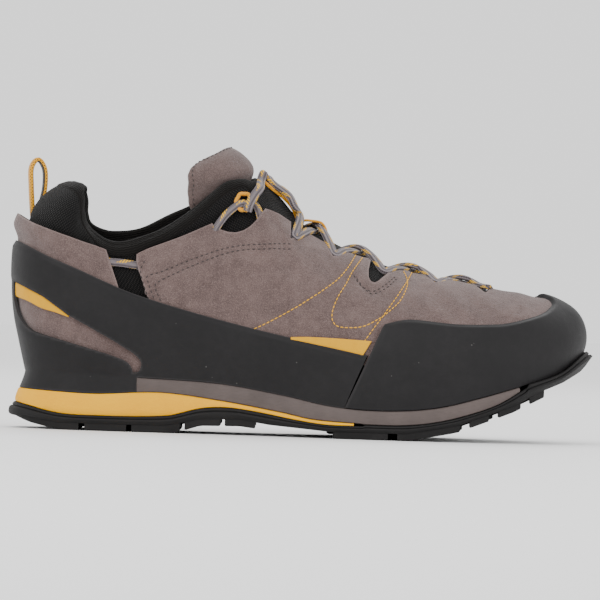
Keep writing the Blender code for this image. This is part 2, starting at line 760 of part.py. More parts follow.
def cap_ladder(bm, loop, up):
    """Close a ring with rungs from the outer to the inner side."""
    count = len(loop)
    low, high = 1, count - 1
    faces = [(loop[0], loop[1], loop[count - 1])]
    while high - low > 2:
        faces.append((loop[low], loop[low + 1], loop[high - 1], loop[high]))
        low += 1
        high -= 1
    if high - low == 2:
        faces.append((loop[low], loop[low + 1], loop[high]))
    for face in faces:
        bm.faces.new(face if up else tuple(reversed(face)))


def line_height(line, lift):
    return lambda x: follow(line, x) + lift


wedge_foot_line = stretch(WEDGE_FOOT, sole_height)
shank_foot_line = stretch(SHANK_FOOT, sole_height)
tread_root_line = stretch(TREAD_ROOT, sole_height)
tread_face_line = stretch(TREAD_FACE, sole_height)
WEDGE_TIP = 10.25       # ring positions of the front tips of the two midsole layers
SHANK_TIP = 14.4


def shank_base_height(x):
    """Underside of the grey midsole: on the wedge, then on the outsole."""
    if x < wedge_top_line[-1][0]:
        return follow(wedge_top_line, x) + CLEARANCE
    return follow(shank_foot_line, x) + CLEARANCE


def outsole_top_height(x):
    if x < wedge_foot_line[-1][0]:
        return follow(wedge_foot_line, x) - CLEARANCE
    if x < shank_foot_line[-1][0]:
        return follow(shank_foot_line, x) - CLEARANCE
    return follow(feather_line, x) - CLEARANCE


def make_shank(mat):
    def reach_base(u):
        return shank_reach(SHANK_BASE, u)

    def reach_top(u):
        return shank_reach(SHANK_TOP, u)
    rings = [(reach_base, shank_base_height), (reach_top, line_height(feather_line, -CLEARANCE))]
    return layer("midsole", SHANK_TIP, rings, mat)


def make_wedge(mat):
    rings = [(lambda u: follow_ledge(WEDGE_BASE, u), line_height(wedge_foot_line, 0)),
             (lambda u: follow_ledge(WEDGE_LIP, u), line_height(wedge_top_line, 0))]
    return layer("midsole_wedge", WEDGE_TIP, rings, mat)


def make_insole(mat):
    inset = -(SUEDE_WALL + SKIN_GAP + CLEARANCE)
    rings = [(lambda u: inset, line_height(feather_line, CLEARANCE)),
             (lambda u: inset, line_height(feather_line, CLEARANCE + INSOLE_THICKNESS))]
    return layer("insole", TOE, rings, mat)


def edge_point(side, x, ledge):
    """Point of the sole's edge at x."""
    low, high = 0.0, float(TOE)
    for _ in range(22):
        middle = (low + high) / 2
        u = side_position(side, middle)
        row = ring_value(u)
        if row[0] + outward(u).x * follow_ledge(ledge, u) < x:
            low = middle
        else:
            high = middle
    u = side_position(side, high)
    row = ring_value(u)
    return Vector((row[0], row[1], 0)) + outward(u) * follow_ledge(ledge, u)


def add_lug(bm, side, start, end, depth):
    """Block of tread along the edge, from its face on the floor into the sole."""
    stations = [along(start + (end - start) * step / 2) for step in range(3)]
    rings = []
    for line, extra in ((tread_face_line, 0.0), (tread_root_line, LUG_ROOT)):
        outer, inner = [], []
        for x in stations:
            place = edge_point(side, x, OUTSOLE_FOOT)
            height = follow_flat(line, x) + extra
            inner_y = side * max(side * place.y - depth, CENTRE_GROOVE)
            outer.append(bm.verts.new((x, place.y, height)))
            inner.append(bm.verts.new((x, inner_y, height)))
        rings.append(outer + list(reversed(inner)))
    low, high = rings
    count = len(low)
    faces = []
    for i in range(count):
        j = (i + 1) % count
        faces.append(bm.faces.new((low[i], low[j], high[j], high[i])))
    for ring in rings:
        faces.append(bm.faces.new((ring[0], ring[1], ring[4], ring[5])))
        faces.append(bm.faces.new((ring[1], ring[2], ring[3], ring[4])))
    bmesh.ops.recalc_face_normals(bm, faces=faces)


def add_middle_lug(bm, start, end, width):
    """Bar of tread across the middle of the sole."""
    half = width * BALL_WIDTH
    rings = []
    for line, extra in ((tread_face_line, 0.0), (tread_root_line, LUG_ROOT)):
        corners = [(start, -half), (end, -half), (end, half), (start, half)]
        places = [(along(share), y) for share, y in corners]
        rings.append([bm.verts.new((x, y, follow_flat(line, x) + extra)) for x, y in places])
    low, high = rings
    for i in range(4):
        j = (i + 1) % 4
        bm.faces.new((low[i], low[j], high[j], high[i]))
    bm.faces.new(reversed(low))
    bm.faces.new(high)


def follow_flat(line, x):
    """Value of a line as straight runs between its points, which keeps its flats flat."""
    for (x0, y0), (x1, y1) in zip(line, line[1:]):
        if x <= x1:
            return y0 + (y1 - y0) * (x - x0) / (x1 - x0)
    return line[-1][1]


def make_outsole(mat):
    def middle(x):
        low = follow_flat(tread_root_line, x)
        return low + 0.45 * (outsole_top_height(x) - low)

    rings = [(lambda u: follow_ledge(OUTSOLE_FOOT, u), lambda x: follow_flat(tread_root_line, x)),
             (lambda u: follow_ledge(OUTSOLE_RIM, u), middle),
             (lambda u: follow_ledge(OUTSOLE_LIP, u), outsole_top_height)]
    sole = layer("outsole", TOE, rings, mat)
    bm = bmesh.new()
    for side in (-1, 1):
        for start, end in HEEL_LUGS + ARCH_LUGS + BALL_LUGS:
            add_lug(bm, side, start, end, LUG_DEPTH)
    for start, end, width in MIDDLE_LUGS:
        add_middle_lug(bm, start, end, width)
    lugs = hide(add("lug_union", finish(bm, "lug_union"), None, cutters))
    cut(sole, lugs, "UNION")
    return sole


# Tongue
def tongue_ribs():
    """Centre of each rib with the rib itself, from the toe end to the head."""
    ribs = [(skin(rib.along, 1, -TONGUE_DEPTH), rib) for rib in TONGUE_UNDER]
    neck = ribs[-1][0]
    for rib in TONGUE_HEAD:
        ribs.append((neck + Vector((rib.along * LENGTH, 0, rib.height * RISE)), rib))
    return ribs


def tongue_middle(centre, rib, c):
    """Point of the tongue's middle layer, c from -1 at one edge to 1 at the other."""
    bend = c * c
    return centre + Vector((-rib.back * LENGTH * bend, rib.half * BALL_WIDTH * c, -rib.down * RISE * bend))


def make_tongue(mat):
    """Padded tongue: under the throat of the sock it bends over the foot, its head stands above."""
    bm = bmesh.new()
    across = [-math.cos(math.pi * step / 8) for step in range(9)]
    lines = []
    ribs = tongue_ribs()
    for index, (centre, rib) in enumerate(ribs):
        after = ribs[min(index + 1, len(ribs) - 1)]
        before = ribs[max(index - 1, 0)]
        front, back = [], []
        for c in across:
            run = tongue_middle(*after, c) - tongue_middle(*before, c)
            side = tongue_middle(centre, rib, c + 0.05) - tongue_middle(centre, rib, c - 0.05)
            out = side.cross(run).normalized()
            wall = TONGUE_THICKNESS * rib.thick / 2 * math.sqrt(1 - 0.75 * c * c)
            middle = tongue_middle(centre, rib, c)
            front.append(bm.verts.new(middle + out * wall))
            back.append(bm.verts.new(middle - out * wall))
        lines.append(front + list(reversed(back)))
    count = len(lines[0])
    for low, high in zip(lines, lines[1:]):
        for i in range(count):
            j = (i + 1) % count
            bm.faces.new((low[i], low[j], high[j], high[i]))
    for line in (lines[0], lines[-1]):
        for i in range(len(across) - 1):
            bm.faces.new((line[i], line[i + 1], line[count - 2 - i], line[count - 1 - i]))
    bmesh.ops.recalc_face_normals(bm, faces=bm.faces)
    return add("tongue", finish(bm, "tongue"), mat)


# Laces
def ring_place(side):
    return position_of(side, along(LACE_RING[0]), upper_height(LACE_RING[1]))


def lace_end(side, share):
    """Ring position, share and lift of a strand's end; share None is the lace ring."""
    if share is None:
        return *ring_place(side), 2 * RING_WIRE + LACE_RADIUS
    return *eyelet_place(side, share), LACE_LIFT


def lace_strand(side, start, end):
    """Points of one strand over the throat, from one eyelet to the next on the other side."""
    u0, t0, lift0 = lace_end(side, start)
    u1, t1, lift1 = lace_end(-side, end)
    begin = skin(u0, t0, lift0)
    arrive = skin(u1, t1, lift1)
    crossing = ridge_position((begin.x + arrive.x) / 2)
    near = skin((u0 + side_position(side, crossing)) / 2, (t0 + 1) / 2, (lift0 + 1.2 * LACE_LIFT) / 2)
    far = skin((u1 + side_position(-side, crossing)) / 2, (t1 + 1) / 2, (lift1 + 1.2 * LACE_LIFT) / 2)
    return [begin, near, skin(crossing, 1, LACE_LIFT), far, arrive]


def ridge_position(x):
    """Ring position at which the ridge of the last lies at x."""
    low, high = float(THROAT), float(TOE)
    for _ in range(18):
        middle = (low + high) / 2
        if last_point(middle, 1).x < x:
            low = middle
        else:
            high = middle
    return high


def make_laces(mat):
    """Two zigzags from eyelet to eyelet, joined where they cross and at the eyelets."""
    pieces = []
    for side in (-1, 1):
        points = []
        stops = [None] + EYELETS
        for index, (start, end) in enumerate(zip(stops, EYELETS)):
            flip = side if index % 2 == 0 else -side
            strand = lace_strand(flip, start, end)
            points.extend(strand if not points else strand[1:])
        pieces.append(tube("laces" if side < 0 else "lace_union", points, LACE_RADIUS, mat))
    laces, other = pieces
    collection.objects.unlink(other)
    cutters.objects.link(hide(other))
    cut(laces, other, "UNION")
    return laces


# Small fittings
def make_loop(mat):
    """Pull loop standing on the heel seam, its foot held between suede and sock."""
    foot = skin(0, share_at_height(0, upper_height(LOOP_FOOT)), -SUEDE_WALL - SOCK_GAP_IN)
    path = [Vector((foot.x + x * LENGTH, 0, upper_height(z))) for x, z in LOOP]
    return tube("pull_loop", smooth_path(path, 2, cyclic=True), LOOP_RADIUS, mat, cyclic=True)


def make_ring(side, mat):
    """Lace ring lying on the sock over the scallop."""
    u, t = ring_place(side)
    centre = skin(u, t, RING_WIRE + SKIN_GAP - SUEDE_WALL)
    normal = last_normal(u, t)
    bpy.ops.mesh.primitive_torus_add(major_radius=RING_RADIUS, minor_radius=RING_WIRE,
                                     major_segments=14, minor_segments=6)
    ring = bpy.context.object
    ring.name = "lace_ring_outer" if side < 0 else "lace_ring_inner"
    for group in list(ring.users_collection):
        group.objects.unlink(ring)
    collection.objects.link(ring)
    ring.data.materials.append(mat)
    ring.data.shade_smooth()
    ring.location = centre
    ring.rotation_euler = Vector((0, 0, 1)).rotation_difference(normal).to_euler()
    return ring


def build():
    global collection, cutters
    for obj in list(bpy.data.objects):
        bpy.data.objects.remove(obj)
    collection = bpy.data.collections.new("approach_shoe")
    cutters = bpy.data.collections.new("cutters")
    bpy.context.scene.collection.children.link(collection)
    bpy.context.scene.collection.children.link(cutters)

    suede = material("taupe_suede", (0.29, 0.235, 0.22), 0.9)
    rubber = material("charcoal_rubber", (0.035, 0.032, 0.034), 0.55)
    grey = material("grey_foam", (0.15, 0.12, 0.12), 0.7)
    yellow = material("yellow_foam", (1.0, 0.58, 0.10), 0.6)
    bright = material("yellow_trim", (1.0, 0.52, 0.03), 0.5)
    mesh = material("black_mesh", (0.015, 0.013, 0.013), 0.9)
    lining = material("lining", (0.05, 0.045, 0.042), 0.9)
    lace = material("lace_grey", (0.26, 0.235, 0.25), 0.85)

    make_upper(suede)
    make_sock(mesh)
    make_heel_rand(rubber)
    make_toe_rand(rubber)
    make_tongue(suede)
    make_shank(grey)
    make_wedge(yellow)
    make_outsole(rubber)
    make_insole(lining)
    make_laces(lace)
    make_loop(bright)
    side_accent_foot = [(share, follow(RAND_EDGE, share) + ACCENT_ABOVE_RAND)
                        for share in SIDE_ACCENT_COLUMNS]
    for side, word in ((-1, "outer"), (1, "inner")):
        make_accent("side_accent_" + word, side, SIDE_ACCENT_COLUMNS, side_accent_foot, ACCENT_EDGE, bright)
        make_accent("heel_accent_" + word, side, HEEL_ACCENT_COLUMNS,
                    HEEL_ACCENT_FOOT, HEEL_ACCENT_TOP, bright)
        make_ring(side, bright)


build()
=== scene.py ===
import math
from contextlib import contextmanager

import bmesh
import bpy
import numpy as np
from mathutils import Matrix, Vector


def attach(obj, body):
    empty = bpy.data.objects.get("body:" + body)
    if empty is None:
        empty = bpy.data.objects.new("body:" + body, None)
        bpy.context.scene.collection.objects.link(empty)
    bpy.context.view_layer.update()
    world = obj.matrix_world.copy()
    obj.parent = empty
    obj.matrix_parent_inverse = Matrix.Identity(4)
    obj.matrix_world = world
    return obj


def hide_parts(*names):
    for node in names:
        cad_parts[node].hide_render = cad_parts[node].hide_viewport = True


# Approach shoe, right foot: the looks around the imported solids. Metres, toe towards +X, outer side -Y.
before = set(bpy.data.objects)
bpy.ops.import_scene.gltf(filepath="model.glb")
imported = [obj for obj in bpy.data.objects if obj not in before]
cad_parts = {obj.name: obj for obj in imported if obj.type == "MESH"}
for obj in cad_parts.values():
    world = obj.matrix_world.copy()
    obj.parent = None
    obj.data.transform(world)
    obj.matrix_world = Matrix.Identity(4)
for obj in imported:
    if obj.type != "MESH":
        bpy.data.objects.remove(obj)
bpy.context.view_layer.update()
print("frame loaded")

# The last: the same sections and lines as the solids, as shares
last = {
    "length": 0.300,
    "heelReach": 0.0574,
    "ballWidth": 0.104,
    "stack": 0.029,
    "rise": 0.098,
    "toe": 17,          # ring position of the toe
    "throat": 9,        # section at which the collar closes over the instep
}
# foot, lateral, medial, top, half, shift, height, belly, rise, shoulder, drop
sections = [
    (0.033, 0.000, 0.000, 0.088, 0.000, 0.000, 0.997, 0.100, 0.42, 0.335, 0.11),
    (0.046, 0.159, 0.159, 0.095, 0.106, 0.000, 0.992, 0.092, 0.42, 0.300, 0.12),
    (0.088, 0.264, 0.264, 0.110, 0.202, 0.000, 0.954, 0.078, 0.42, 0.205, 0.14),
    (0.158, 0.312, 0.308, 0.125, 0.260, 0.000, 0.811, 0.058, 0.40, 0.085, 0.18),
    (0.238, 0.322, 0.308, 0.161, 0.288, 0.000, 0.702, 0.043, 0.40, 0.034, 0.25),
    (0.311, 0.327, 0.288, 0.218, 0.293, 0.000, 0.704, 0.043, 0.40, 0.029, 0.25),
    (0.381, 0.341, 0.274, 0.288, 0.264, 0.000, 0.811, 0.043, 0.42, 0.058, 0.20),
    (0.445, 0.365, 0.288, 0.358, 0.192, 0.000, 0.969, 0.043, 0.43, 0.115, 0.10),
    (0.491, 0.394, 0.317, 0.405, 0.111, 0.000, 1.036, 0.043, 0.42, 0.163, 0.03),
    (0.528, 0.418, 0.351, 0.425, 0.000, 0.000, 1.051, 0.043, 0.42, 0.212, 0.00),
    (0.578, 0.447, 0.389, 0.485, 0.000, 0.000, 0.852, 0.048, 0.45, 0.231, 0.00),
    (0.638, 0.471, 0.428, 0.555, 0.000, 0.010, 0.730, 0.048, 0.48, 0.250, 0.00),
    (0.701, 0.476, 0.452, 0.638, 0.000, 0.019, 0.628, 0.048, 0.50, 0.269, 0.00),
    (0.771, 0.452, 0.452, 0.725, 0.000, 0.029, 0.564, 0.048, 0.52, 0.269, 0.00),
    (0.838, 0.394, 0.428, 0.791, 0.000, 0.038, 0.526, 0.058, 0.55, 0.260, 0.00),
    (0.898, 0.288, 0.370, 0.841, 0.000, 0.048, 0.498, 0.067, 0.58, 0.231, 0.00),
    (0.943, 0.125, 0.269, 0.870, 0.000, 0.058, 0.478, 0.087, 0.60, 0.202, 0.00),
    (0.965, -0.087, 0.087, 0.883, 0.000, 0.058, 0.470, 0.106, 0.63, 0.197, 0.00),
]
featherShares = [(-0.01, 1.007), (0.154, 1.0), (0.22, 0.962), (0.36, 0.897), (0.47, 0.728), (0.543, 0.579),
                 (0.6, 0.524), (0.67, 0.528), (0.735, 0.607), (0.8, 0.783), (0.883, 1.048), (0.942, 1.272),
                 (0.981, 1.603), (1.01, 1.86)]
wedgeTopShares = [(-0.002, 0.717), (0.08, 0.669), (0.152, 0.648), (0.26, 0.703), (0.361, 0.597),
                  (0.471, 0.417), (0.52, 0.321), (0.606, 0.269)]
wedgeFootShares = [(-0.002, 0.497), (0.032, 0.417), (0.081, 0.307), (0.129, 0.272), (0.273, 0.307),
                   (0.332, 0.455), (0.375, 0.483), (0.423, 0.428), (0.496, 0.3), (0.544, 0.241),
                   (0.606, 0.238)]
shankFootShares = [(0.6, 0.259), (0.671, 0.262), (0.726, 0.328), (0.78, 0.469), (0.834, 0.679), (0.883, 1.0)]
treadRootShares = [(0.0, 0.34), (0.038, 0.21), (0.088, 0.124), (0.271, 0.124), (0.331, 0.26), (0.396, 0.276),
                   (0.448, 0.2), (0.551, 0.117), (0.681, 0.124), (0.765, 0.29), (0.858, 0.65), (0.908, 0.93),
                   (0.945, 1.09), (1.0, 1.42)]
treadFaceShares = [(0.0, 0.262), (0.038, 0.114), (0.088, 0.0), (0.285, 0.0), (0.331, 0.145), (0.396, 0.16),
                   (0.5, 0.041), (0.555, 0.0), (0.681, 0.0), (0.765, 0.172), (0.858, 0.545), (0.945, 1.0),
                   (1.0, 1.3)]
randShares = [(-0.01, 0.692), (0.015, 0.673), (0.064, 0.604), (0.108, 0.548), (0.185, 0.448), (0.239, 0.394),
              (0.322, 0.326), (0.419, 0.257), (0.467, 0.226), (0.6, 0.139)]
toeEdgeShares = [(11.4, 0.300), (12, 0.326), (13, 0.309), (14, 0.318), (15, 0.365), (16, 0.430),
                 (16.5, 0.458), (17, 0.4685)]      # height at ring positions


def alongX(share):
    return share * last["length"] - last["heelReach"]


def soleLine(shares):
    return [(alongX(x), z * last["stack"]) for x, z in shares]


def upperLine(shares):
    return [(alongX(x), last["stack"] + z * last["rise"]) for x, z in shares]


featherLine = soleLine(featherShares)
wedgeTopLine = soleLine(wedgeTopShares)
wedgeFootLine = soleLine(wedgeFootShares)
shankFootLine = soleLine(shankFootShares)
treadRootLine = soleLine(treadRootShares)
treadFaceLine = soleLine(treadFaceShares)
randLine = upperLine(randShares)


def curveAt(line, where):
    # a cubic through the points of a line
    xs, ys = np.array(line, float).T
    where = np.clip(where, xs[0], xs[-1])
    i = np.clip(np.searchsorted(xs, where, side="right") - 1, 0, len(xs) - 2)
    before = np.maximum(i - 1, 0)
    after = np.minimum(i + 2, len(xs) - 1)
    slope0 = (ys[i + 1] - ys[before]) / (xs[i + 1] - xs[before])
    slope1 = (ys[after] - ys[i]) / (xs[after] - xs[i])
    span = xs[i + 1] - xs[i]
    f = (where - xs[i]) / span
    g = 1 - f
    return (ys[i] * (1 + 2 * f) * g * g + slope0 * span * f * g * g
            + ys[i + 1] * (3 - 2 * f) * f * f - slope1 * span * f * f * g)


def straightAt(line, where):
    xs, ys = np.array(line, float).T
    return np.interp(where, xs, ys)


def ease(value):
    value = np.clip(value, 0.0, 1.0)
    return value * value * (3 - 2 * value)


def bell(value):
    return np.exp(-value * value)


def makeRing():
    rows = []
    wide = last["ballWidth"]
    toe = last["toe"]
    for side, order in ((-1, range(toe + 1)), (1, range(toe - 1, 0, -1))):
        for index in order:
            foot, lateral, medial, top, half, shift, height, belly, rise, shoulder, drop = sections[index]
            width = lateral if side < 0 else medial
            rows.append((alongX(foot), side * width * wide, alongX(top), side * half * wide, shift * wide,
                         last["stack"] + height * last["rise"], belly * wide, rise, shoulder * wide, drop))
    return np.array(rows)


ring = makeRing()
turns = len(ring)


def ringAt(u):
    index = np.floor(u).astype(int)
    f = (u - index)[..., None]
    p, q, r, s = (ring[(index + step) % turns] for step in (-1, 0, 1, 2))
    return 0.5 * (2 * q + (r - p) * f + (2 * p - 5 * q + 4 * r - s) * f ** 2
                  + (3 * q - p - 3 * r + s) * f ** 3)


def fromHeel(u):
    away = np.mod(u, turns)
    return np.minimum(away, turns - away)


def unit(vectors):
    return vectors / np.maximum(np.linalg.norm(vectors, axis=-1, keepdims=True), 1e-12)


def outward(u):
    step = ringAt(u + 0.05) - ringAt(u - 0.05)
    return unit(np.stack([step[..., 1], -step[..., 0], 0 * u], -1))


def lastPoint(u, t):
    u, t = np.broadcast_arrays(np.asarray(u, float), np.asarray(t, float))
    x, y, top, half, shift, height, belly, rise, shoulder, drop = np.moveaxis(ringAt(u), -1, 0)
    foot = np.stack([x, y, curveAt(featherLine, x)], -1)
    closed = fromHeel(u) >= last["throat"]
    head = np.stack([top, np.where(closed, shift, shift + half), height], -1)
    side = outward(u)
    tall = height - foot[..., 2]
    up = np.array([0, 0, 1.0])
    lower = foot + side * belly[..., None] + up * (rise * tall)[..., None]
    upper = head + side * shoulder[..., None] - up * (drop * tall)[..., None]
    t = t[..., None]
    g = 1 - t
    return foot * g ** 3 + lower * (3 * g * g * t) + upper * (3 * g * t * t) + head * t ** 3


def lastNormal(u, t):
    u, t = np.broadcast_arrays(np.asarray(u, float), np.asarray(t, float))
    side = lastPoint(u + 0.05, t) - lastPoint(u - 0.05, t)
    up = lastPoint(u, t + 0.01) - lastPoint(u, t - 0.01)
    normal = unit(np.cross(side, up))
    run = lastPoint(u + 0.1, 1) - lastPoint(u - 0.1, 1)
    flat = np.where(np.abs(run[..., 0]) < 1e-6, 1e-6, run[..., 0])
    crest = unit(np.stack([-run[..., 2] / flat, 0 * flat, 1 + 0 * flat], -1))
    onRidge = ((t > 0.999) & (fromHeel(u) >= last["throat"]))[..., None]
    return np.where(onRidge, crest, normal)


def skin(u, t, lift):
    return lastPoint(u, t) + lastNormal(u, t) * np.asarray(lift, float)[..., None]


def solveShare(test, like):
    # share at which test turns positive, or 1
    low = np.zeros_like(like, float)
    high = np.ones_like(like, float)
    open_ = test(high) < 0
    for _ in range(20):
        middle = (low + high) / 2
        under = test(middle) < 0
        low = np.where(under, middle, low)
        high = np.where(under, high, middle)
    return np.where(open_, 1.0, high)


def shareAtLine(u, line):
    def test(t):
        point = lastPoint(u, t)
        return point[..., 2] - curveAt(line, point[..., 0])
    return solveShare(test, u)


def shareAtHeight(u, height):
    return solveShare(lambda t: lastPoint(u, t)[..., 2] - height, u)


def sidePlace(side, u):
    return np.where(side < 0, u, turns - u)


def onSkin(side, x, z):
    # ring position and share of points of the side view on one side
    x, z = np.asarray(x, float), np.asarray(z, float)
    low = np.zeros_like(x)
    high = np.full_like(x, float(last["toe"]))
    for _ in range(18):
        middle = (low + high) / 2
        u = sidePlace(side, middle)
        behind = lastPoint(u, shareAtHeight(u, z))[..., 0] < x
        low = np.where(behind, middle, low)
        high = np.where(behind, high, middle)
    u = sidePlace(side, high)
    return u, shareAtHeight(u, z)


def evenColumns(first, end, spacing, share=0.5):
    # ring positions at even distances along the last
    dense = np.linspace(first, end, 1200)
    places = lastPoint(dense, share)
    run = np.concatenate([[0], np.cumsum(np.linalg.norm(np.diff(places, axis=0), axis=1))])
    count = max(int(run[-1] / spacing), 2)
    return np.interp(np.linspace(0, run[-1], count + 1), run, dense)


throatLine = [(alongX(x), w * last["ballWidth"]) for x, w in
              ((0.42, 0.150), (0.5, 0.110), (0.6, 0.092), (0.75, 0.078), (0.84, 0.062), (0.872, 0.040),
               (0.884, 0.001))]


def throatShare(u):
    centre = ringAt(u)[..., 4]

    def test(t):
        point = lastPoint(u, t)
        return curveAt(throatLine, point[..., 0]) - np.abs(point[..., 1] - centre)
    return np.where(fromHeel(u) < last["throat"] - 2, 1.0, solveShare(test, u))


print("last ready")


# Meshes from grids of points
def inside(outline, flat):
    x, z = flat[..., 0], flat[..., 1]
    odd = np.zeros(x.shape, bool)
    for (x0, z0), (x1, z1) in zip(outline, outline[1:] + outline[:1]):
        if z0 == z1:
            continue
        crosses = (z0 > z) != (z1 > z)
        odd ^= crosses & (x < (x1 - x0) * (z - z0) / (z1 - z0) + x0)
    return odd


def nearestOn(outline, flat):
    # nearest point of a closed outline
    best = np.full(len(flat), 1e9)
    place = flat.copy()
    for start, end in zip(outline, outline[1:] + outline[:1]):
        a, b = np.array(start), np.array(end)
        run = b - a
        share = np.clip(((flat - a) @ run) / max(run @ run, 1e-12), 0, 1)
        foot = a + share[:, None] * run
        away = np.linalg.norm(flat - foot, axis=1)
        closer = away < best
        best = np.where(closer, away, best)
        place[closer] = foot[closer]
    return place


def slideTo(u, t, target):
    # moves ring positions and shares until their side view is at the target
    for _ in range(6):
        here = lastPoint(u, t)[:, [0, 2]]
        du = (lastPoint(u + 0.01, t)[:, [0, 2]] - here) / 0.01
        dt = (lastPoint(u, t + 0.002)[:, [0, 2]] - here) / 0.002
        miss = target - here
        det = du[:, 0] * dt[:, 1] - du[:, 1] * dt[:, 0]
        det = np.where(np.abs(det) < 1e-7, 1e-7, det)
        stepU = (miss[:, 0] * dt[:, 1] - miss[:, 1] * dt[:, 0]) / det
        stepT = (du[:, 0] * miss[:, 1] - du[:, 1] * miss[:, 0]) / det
        u = u + np.clip(stepU, -0.08, 0.08)
        t = np.clip(t + np.clip(stepT, -0.03, 0.03), 0, 1)
    return u, t


def cutSkin(u, t, outlines):
    # faces that stay, and the grid with its new borders moved onto the outlines
    keep = np.ones((u.shape[0] - 1, u.shape[1] - 1), bool)
    u, t = u.copy(), t.copy()
    for outline in outlines:
        flat = lastPoint(u, t)[..., [0, 2]]
        middle = (flat[:-1, :-1] + flat[1:, :-1] + flat[:-1, 1:] + flat[1:, 1:]) / 4
        gone = inside(outline, middle)
        touchedGone = corners(gone)
        keep &= ~gone
        border = touchedGone & corners(keep)
        if border.any():
            target = nearestOn(outline, flat[border])
            u[border], t[border] = slideTo(u[border], t[border], target)
    return keep, u, t


def corners(faces):
    # points that a set of faces touches
    touched = np.zeros((faces.shape[0] + 1, faces.shape[1] + 1), bool)
    touched[:-1, :-1] |= faces
    touched[1:, :-1] |= faces
    touched[:-1, 1:] |= faces
    touched[1:, 1:] |= faces
    return touched


def linked(name, data):
    # a new object in the scene
    thing = bpy.data.objects.new(name, data)
    bpy.context.scene.collection.objects.link(thing)
    return thing


@contextmanager
def meshEdit(mesh):
    # the mesh open for changes, written back at the end
    bm = bmesh.new()
    bm.from_mesh(mesh)
    bm.verts.ensure_lookup_table()
    yield bm
    bm.to_mesh(mesh)
    bm.free()


def gridPiece(name, points, finish, keep=None, rim=None, close=False):
    # mesh from points[column, row], with a UV map in metres and the attribute rim near its borders
    columns, rows = points.shape[:2]
    if keep is None:
        keep = np.ones((columns - 1, rows - 1), bool)
    index = np.arange(columns * rows).reshape(columns, rows)
    quads = np.stack([index[:-1, :-1], index[1:, :-1], index[1:, 1:], index[:-1, 1:]], -1)[keep]
    if close:
        ends = np.stack([index[-1, :-1], index[0, :-1], index[0, 1:], index[-1, 1:]], -1)
        quads = np.concatenate([quads.reshape(-1, 4), ends])
    used = np.unique(quads)
    number = np.zeros(columns * rows, int)
    number[used] = np.arange(len(used))
    mesh = bpy.data.meshes.new(name)
    mesh.from_pydata(points.reshape(-1, 3)[used].tolist(), [], number[quads].tolist())
    across = np.linalg.norm(np.diff(points, axis=0), axis=2).mean(1)
    upward = np.linalg.norm(np.diff(points, axis=1), axis=2)
    s = np.concatenate([[0], np.cumsum(across)])
    r = np.concatenate([np.zeros((columns, 1)), np.cumsum(upward, 1)], 1)
    uv = np.stack([np.broadcast_to(s[:, None], r.shape), r], -1).reshape(-1, 2)[used]
    loops = np.zeros(len(mesh.loops), int)
    mesh.loops.foreach_get("vertex_index", loops)
    mesh.uv_layers.new(name="weave").data.foreach_set("uv", uv[loops].ravel())
    attribute = mesh.attributes.new("rim", "FLOAT", "POINT")
    if rim is None:
        rim = np.zeros((columns, rows))
    attribute.data.foreach_set("value", rim.ravel()[used].astype(np.float32))
    return addPiece(name, mesh, finish)


def addPiece(name, mesh, finish):
    piece = linked(name, mesh)
    for one in (finish if isinstance(finish, list) else [finish]):
        mesh.materials.append(one)
    mesh.shade_smooth()
    return piece


def thicken(piece, wall, offset=-1):
    shell = piece.modifiers.new("wall", "SOLIDIFY")
    shell.thickness = wall
    shell.offset = offset
    shell.use_quality_normals = True
    return piece


def declare(piece, slot, *nodes):
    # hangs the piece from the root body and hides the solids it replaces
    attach(piece, "root")
    if nodes:
        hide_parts(*nodes)
    return piece


def settle(piece, slot, *nodes, angle=42):
    mesh = bpy.data.meshes.new_from_object(piece.evaluated_get(bpy.context.evaluated_depsgraph_get()))
    piece.modifiers.clear()
    old = piece.data
    piece.data = mesh
    bpy.data.meshes.remove(old)
    mesh.name = piece.name
    mesh.shade_smooth()
    mesh.set_sharp_from_angle(angle=math.radians(angle))
    return declare(piece, slot, *nodes)


def smoothRun(points, steps, cyclic=False):
    # points along a cubic through the given ones
    points = np.array(points, float)
    count = len(points)
    out = []
    for i in range(count if cyclic else count - 1):
        if cyclic:
            a, b, c, d = (points[(i + k) % count] for k in (-1, 0, 1, 2))
        else:
            a, b, c, d = (points[min(max(i + k, 0), count - 1)] for k in (-1, 0, 1, 2))
        for step in range(steps):
            f = step / steps
            out.append(0.5 * (2 * b + (c - a) * f + (2 * a - 5 * b + 4 * c - d) * f * f
                              + (3 * b - a - 3 * c + d) * f ** 3))
    if not cyclic:
        out.append(points[-1])
    return np.array(out)


# Finishes
class Value:
    # a socket that takes part in sums
    def __init__(self, finish, socket):
        self.finish = finish
        self.socket = socket

    def math(self, operation, *others, clamp=False):
        sockets = {0: self}
        sockets.update({i + 1: other for i, other in enumerate(others)})
        return self.finish.node("Math", {"operation": operation, "use_clamp": clamp}, sockets)

    def __add__(self, other):
        return self.math("ADD", other)

    def __mul__(self, other):
        return self.math("MULTIPLY", other)

    def __sub__(self, other):
        return self.math("SUBTRACT", other)

    def __rsub__(self, other):
        return self.finish.node("Math", {"operation": "SUBTRACT"}, {0: other, 1: self})

    def __truediv__(self, other):
        return self.math("DIVIDE", other)

    __radd__ = __add__
    __rmul__ = __mul__

    def step(self, low, high):
        # 0 below low, 1 above high, eased between
        return self.finish.node("MapRange", {"interpolation_type": "SMOOTHSTEP"},
                                {0: self, 1: low, 2: high, 3: 0.0, 4: 1.0})

    def wave(self):
        return self.math("SINE")

    def fraction(self):
        return self.math("FRACT")


